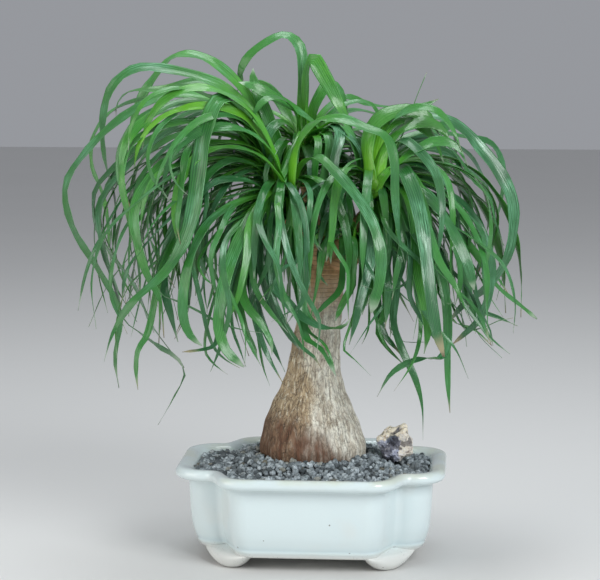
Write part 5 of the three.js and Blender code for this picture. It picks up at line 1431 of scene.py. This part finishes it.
def budSkin(name):
    # Sheath of rolled leaf bases in the middle of a head, narrowing to its tip, with five folds that
    # wind up it
    head, around = heads[name], leaf["budAround"]
    foot, tip = headPoint(name) - [0, 0, trunk["branchInset"]], headPoint(name) + [0, 0, head["bud"]]
    start, end = (head["thick"] * share for share in leaf["budTaper"])
    rings = stemRings([foot, (foot + tip) / 2, tip], start, end, around, leaf["budRows"])
    middle = rings.mean(1, keepdims=True)
    angle = anglesRound(around)[None, :, None]
    fold = 1 + leaf["budFold"] * np.sin(5 * angle + np.linspace(0, 5, len(rings))[:, None, None])
    points, faces = closedLoft(middle + (rings - middle) * fold)
    along = np.append(np.repeat(np.linspace(0.02, 0.25, len(rings)), around), [0, 0.25])
    return points, faces, {"along": along, "across": 0.0, "upper": 1.0, "tone": 0.75, "dry": 0.0}


def toneOf(line, seed):
    # Freshness from 0, old and blue green, to 1, new and yellow green: higher leaves are fresher. With
    # it comes a share from 0 to 1 for how dry the tip is.
    rng = np.random.default_rng(seed)
    high = np.percentile(line[:, 2], 75)
    tone = (high - leaf["toneFrom"]) / leaf["toneOver"] + rng.normal(0.0, leaf["toneSpread"])
    return float(np.clip(tone, 0, leaf["toneMost"])), float(rng.uniform(0, 1))


def headLeaves():
    # All the leaves of each head, in the order that the draws need
    grown = {name: [budSkin(name)] for name in heads}
    seed = 100
    for head, width, away, roll, route, *ownTone in shownLeaves + moreLeaves:
        line = shownLine(head, away, route)
        tone, dry = (ownTone[0], leaf["noDryTip"]) if ownTone else toneOf(line, seed)
        grown[head].append(strapLeaf(line, width, roll, tone, dry, seed))
        seed += 1
    for row in ruleLeaves:
        first, last = row["heading"]
        for k in range(row["count"]):
            share = (k + 0.25 + 0.5 * next(draws)) / row["count"]
            heading = np.radians(first + (last - first) * share)
            slope, wander = row.get("slope", leaf["startSlope"]), row.get("wander", 0)
            line = ruleLine(row["head"], heading, drawBetween(*row["length"]), slope, wander)
            width = row["width"] * drawBetween(0.85, 1.15)
            roll = (0, drawBetween(*leaf["roll"]))
            grown[row["head"]].append(strapLeaf(line, width, roll, *toneOf(line, seed), seed))
            seed += 1
    return grown


leafLook = {
    "old": (0.007, 0.086, 0.024),
    "fresh": (0.032, 0.232, 0.009),
    "young": (0.125, 0.480, 0.012),
    "sheath": (0.215, 0.590, 0.020),
    # painted highlight: pale blue green laid in streaks on the upper face
    "paintedSheen": (0.190, 0.500, 0.290),
    "base": (0.34, 0.54, 0.16),
    "vein": (0.095, 0.400, 0.095),
    "under": (0.036, 0.190, 0.014),
    "pale": (0.40, 0.50, 0.37),
    "straw": (0.33, 0.29, 0.17),
    "burnt": (0.12, 0.09, 0.06),
    "veins": 22,
    "lowFresher": 0.08,
    # tones from none to full of each green
    "freshAt": (0.1, 0.8),
    "youngAt": (0.76, 1.0),
    "sheathAt": (0.9, 1.1),
    "agingAt": (1.0, 1.05),
    # shares of the length and of the half width, from none to full of what the leaf does there
    "yellowBase": (0.46, 0.10),
    "paleBase": (0.14, 0.02),
    "paleTip": (0.94, 0.995),
    "strawTip": (1.0, 1.06),
    "burntTip": (1.02, 1.06),
    "rib": (0.12, 0.0),
    "edge": (0.84, 0.97),
}


def leafFinish(name, fresher=0.0):
    # Strap leaf: green by tone, with parallel veins, a painted sheen (painted highlight) in long streaks
    # on its upper face, a yellow base, and a tip that is pale or dry. Tones over 1 are the young sheaths,
    # which turn green along their length.
    f = Finish(name, leafLook["old"])
    along, across, upper = f.field("along"), f.field("across"), f.field("upper")
    tone, dry = f.field("tone") + fresher, f.field("dry")
    tone = tone - along * 0.9 * tone.step(*leafLook["agingAt"])
    cloud = f.noise(45, 3)
    fresh = (tone + (cloud - 0.5) * 0.5).step(*leafLook["freshAt"])
    f.over(fresh, leafLook["fresh"])
    young = (tone + (cloud - 0.5) * 0.3).step(*leafLook["youngAt"])
    f.over(young * 0.85, leafLook["young"])
    sheath = tone.step(*leafLook["sheathAt"])
    f.over(sheath, leafLook["sheath"])
    strands = f.node("ShaderNodeCombineXYZ", {}, {"X": across * 8, "Y": along * 14, "Z": tone * 60})
    streak = f.noise(1.0, 4, strands, 0.65)
    f.over(streak.step(0.56, 0.34) * (0.5 - sheath * 0.4), leafLook["old"])
    # painted highlight: pale streaks on the upper face, stronger on the middle of the leaf where it bends
    paintedSheen = streak.step(0.38, 0.64) * f.noise(30, 2).step(0.40, 0.70) * upper.step(-0.05, 0.05)
    paintedSheen = paintedSheen * (0.55 + along.step(0.08, 0.2) * along.step(0.8, 0.5) * 0.45)
    f.over(paintedSheen * (1.0 - tone * 0.6).atLeast(0), leafLook["paintedSheen"])
    vein = (across * leafLook["veins"] + (f.noise(60, 2) - 0.5) * 1.4).wave() * 0.5 + 0.5
    rib = across.size().step(*leafLook["rib"])
    edge = across.size().step(*leafLook["edge"])
    f.over((1 - vein) * (1 - vein) * (0.45 - sheath * 0.3), leafLook["old"])
    f.over(vein * vein * 0.2 + rib * 0.1 + edge * 0.25, leafLook["vein"])
    f.over(upper.step(0.05, -0.05) * (0.65 - sheath * 0.5), leafLook["under"])
    yellow = along.step(*leafLook["yellowBase"]) * tone.step(0.0, 0.5)
    f.over(yellow * 0.6, leafLook["young"])
    pale = (along + (cloud - 0.5) * 0.05).step(*leafLook["paleBase"]) * tone.step(1.0, 0.8)
    f.over(pale * 0.8, leafLook["base"])
    reach = along + (cloud - 0.5) * 0.06 + across.size().step(0.8, 1.0) * 0.01
    f.over(reach.step(*leafLook["paleTip"]) * 0.8, leafLook["pale"])
    tip = (reach + (dry - 0.45) * 0.16).step(*leafLook["strawTip"])
    f.over(tip, leafLook["straw"])
    burnt = (reach + (dry - 0.45) * 0.09).step(*leafLook["burntTip"])
    f.over(burnt, leafLook["burnt"])
    fleck = f.noise(260, 3).step(0.67, 0.75) * (1 - tone).atLeast(0)
    f.over(fleck * 0.35, leafLook["pale"])
    f.relief(vein * 0.4 + rib * 0.4 + streak * 1.4, 0.0004, 0.6)
    shine = (0.3 + streak.step(0.35, 0.65) * 0.7 - tip * 0.5).atLeast(0)
    return f.done(Roughness=0.36 + streak * 0.24 + tip * 0.25, IOR=1.42, CoatWeight=shine,
                  CoatRoughness=0.19)


grown = headLeaves()
leafGreen = leafFinish("strapLeaf")
for name, node, slot, finish in (
    ("left", "upper_leaf_heads", "leaf", leafGreen),
    ("right", "upper_leaf_heads", "leaf", leafGreen),
    ("mid", "upper_leaf_heads", "leaf", leafGreen),
    ("low", "low_leaf_head", "low_leaf", leafFinish("lowStrapLeaf", leafLook["lowFresher"])),
):
    points, faces, fields = joined(grown[name])
    makePiece(f"{name}_head_leaves", [node], finish, turned(points), faces, fields)
    print(f"{name} head: {len(grown[name]) - 1} leaves")


# What lies inside the pot keeps its solids

filling = {
    "soil": (0.025, 0.017, 0.011),
    "crumb": (0.10, 0.065, 0.04),
    "chip": (0.24, 0.15, 0.08),
    "grit": (0.62, 0.60, 0.55),
    "plastic": (0.02, 0.022, 0.021),
    "dust": (0.13, 0.10, 0.075),
}


def soilFinish():
    # Potting mix: dark crumbs with bark chips and pale grit
    f = Finish("pottingMix", filling["soil"])
    crumb = f.noise(220, 5)
    f.over(crumb.step(0.35, 0.65), filling["crumb"])
    f.over(f.cells(260).step(0.22, 0.1), filling["chip"])
    f.over(f.noise(420, 2).step(0.68, 0.74), filling["grit"])
    f.relief(crumb + f.cells(300) * 0.6, 0.002, 0.9)
    return f.done(Roughness=0.9 + crumb * 0.08)


def meshFinish():
    # Moulded plastic mesh: near black, a little dusty with soil
    f = Finish("drainMesh", filling["plastic"])
    dust = f.noise(150, 4)
    f.over(dust.step(0.5, 0.72) * 0.6, filling["dust"])
    f.relief(f.noise(700, 3), 0.0002, 0.5)
    return f.done(Roughness=0.45 + dust * 0.3)


def dress(node, finish):
    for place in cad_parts[node].material_slots:
        place.material = finish


dress("potting_mix", soilFinish())
plasticMesh = meshFinish()
for side in ("left", "right"):
    dress(f"drain_screen_{side}", plasticMesh)


# Studio: pale floor, soft light and the photograph's view

studio = {
    "floor": (0.72, 0.715, 0.70),
    "floorSize": 12,
    "air": (0.90, 0.93, 1.0),
    "airStrength": 0.34,
    "lens": 126,
    "lights": [
        {"name": "window", "at": (1.2, -1.5, 1.4), "size": 1.1, "power": 34, "colour": (0.95, 0.985, 1.0)},
        {"name": "bounce", "at": (-1.6, -1.0, 0.8), "size": 1.5, "power": 15, "colour": (1.0, 0.97, 0.92)},
        {"name": "sky", "at": (-0.1, 0.2, 2.0), "size": 1.0, "power": 16, "colour": (0.90, 0.96, 1.0)},
    ],
}


def floorFinish():
    f = Finish("paleFloor", studio["floor"])
    soft = f.noise(3, 3)
    f.over(soft, tuple(c * 0.97 for c in studio["floor"]))
    return f.done(Roughness=0.6 + soft * 0.1)


def aimed(thing, target):
    # Turns a light or camera so that it looks at a point
    way = target - thing.location
    thing.rotation_euler = way.to_track_quat("-Z", "Y").to_euler()


bpy.ops.mesh.primitive_plane_add(size=studio["floorSize"])
floor = bpy.context.object
floor.name = "pale_floor"
floor.data.materials.append(floorFinish())
floor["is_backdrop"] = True

low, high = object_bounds()
for row in studio["lights"]:
    lamp = bpy.data.lights.new(row["name"], "AREA")
    lamp.energy, lamp.size, lamp.color = row["power"], row["size"], row["colour"]
    light = bpy.data.objects.new(row["name"], lamp)
    bpy.context.scene.collection.objects.link(light)
    light.location = row["at"]
    aimed(light, (low + high) / 2)

bpy.context.scene.view_settings.view_transform = "Standard"
world = bpy.data.worlds.new("studioAir")
world.use_nodes = True
world.node_tree.nodes["Background"].inputs["Color"].default_value = (*studio["air"], 1)
world.node_tree.nodes["Background"].inputs["Strength"].default_value = studio["airStrength"]
bpy.context.scene.world = world

lens = bpy.data.cameras.new("frontView")
lens.lens = studio["lens"]
lens.sensor_width = 36
camera = bpy.data.objects.new("frontView", lens)
bpy.context.scene.collection.objects.link(camera)
camera.location = toFrame(turned(np.array(view["eye"], float)))
camera.rotation_euler = (np.radians(90 - view["tiltDown"]), 0, np.radians(plantTurn))
bpy.context.scene.camera = camera

print("stage, lights and camera are in place")
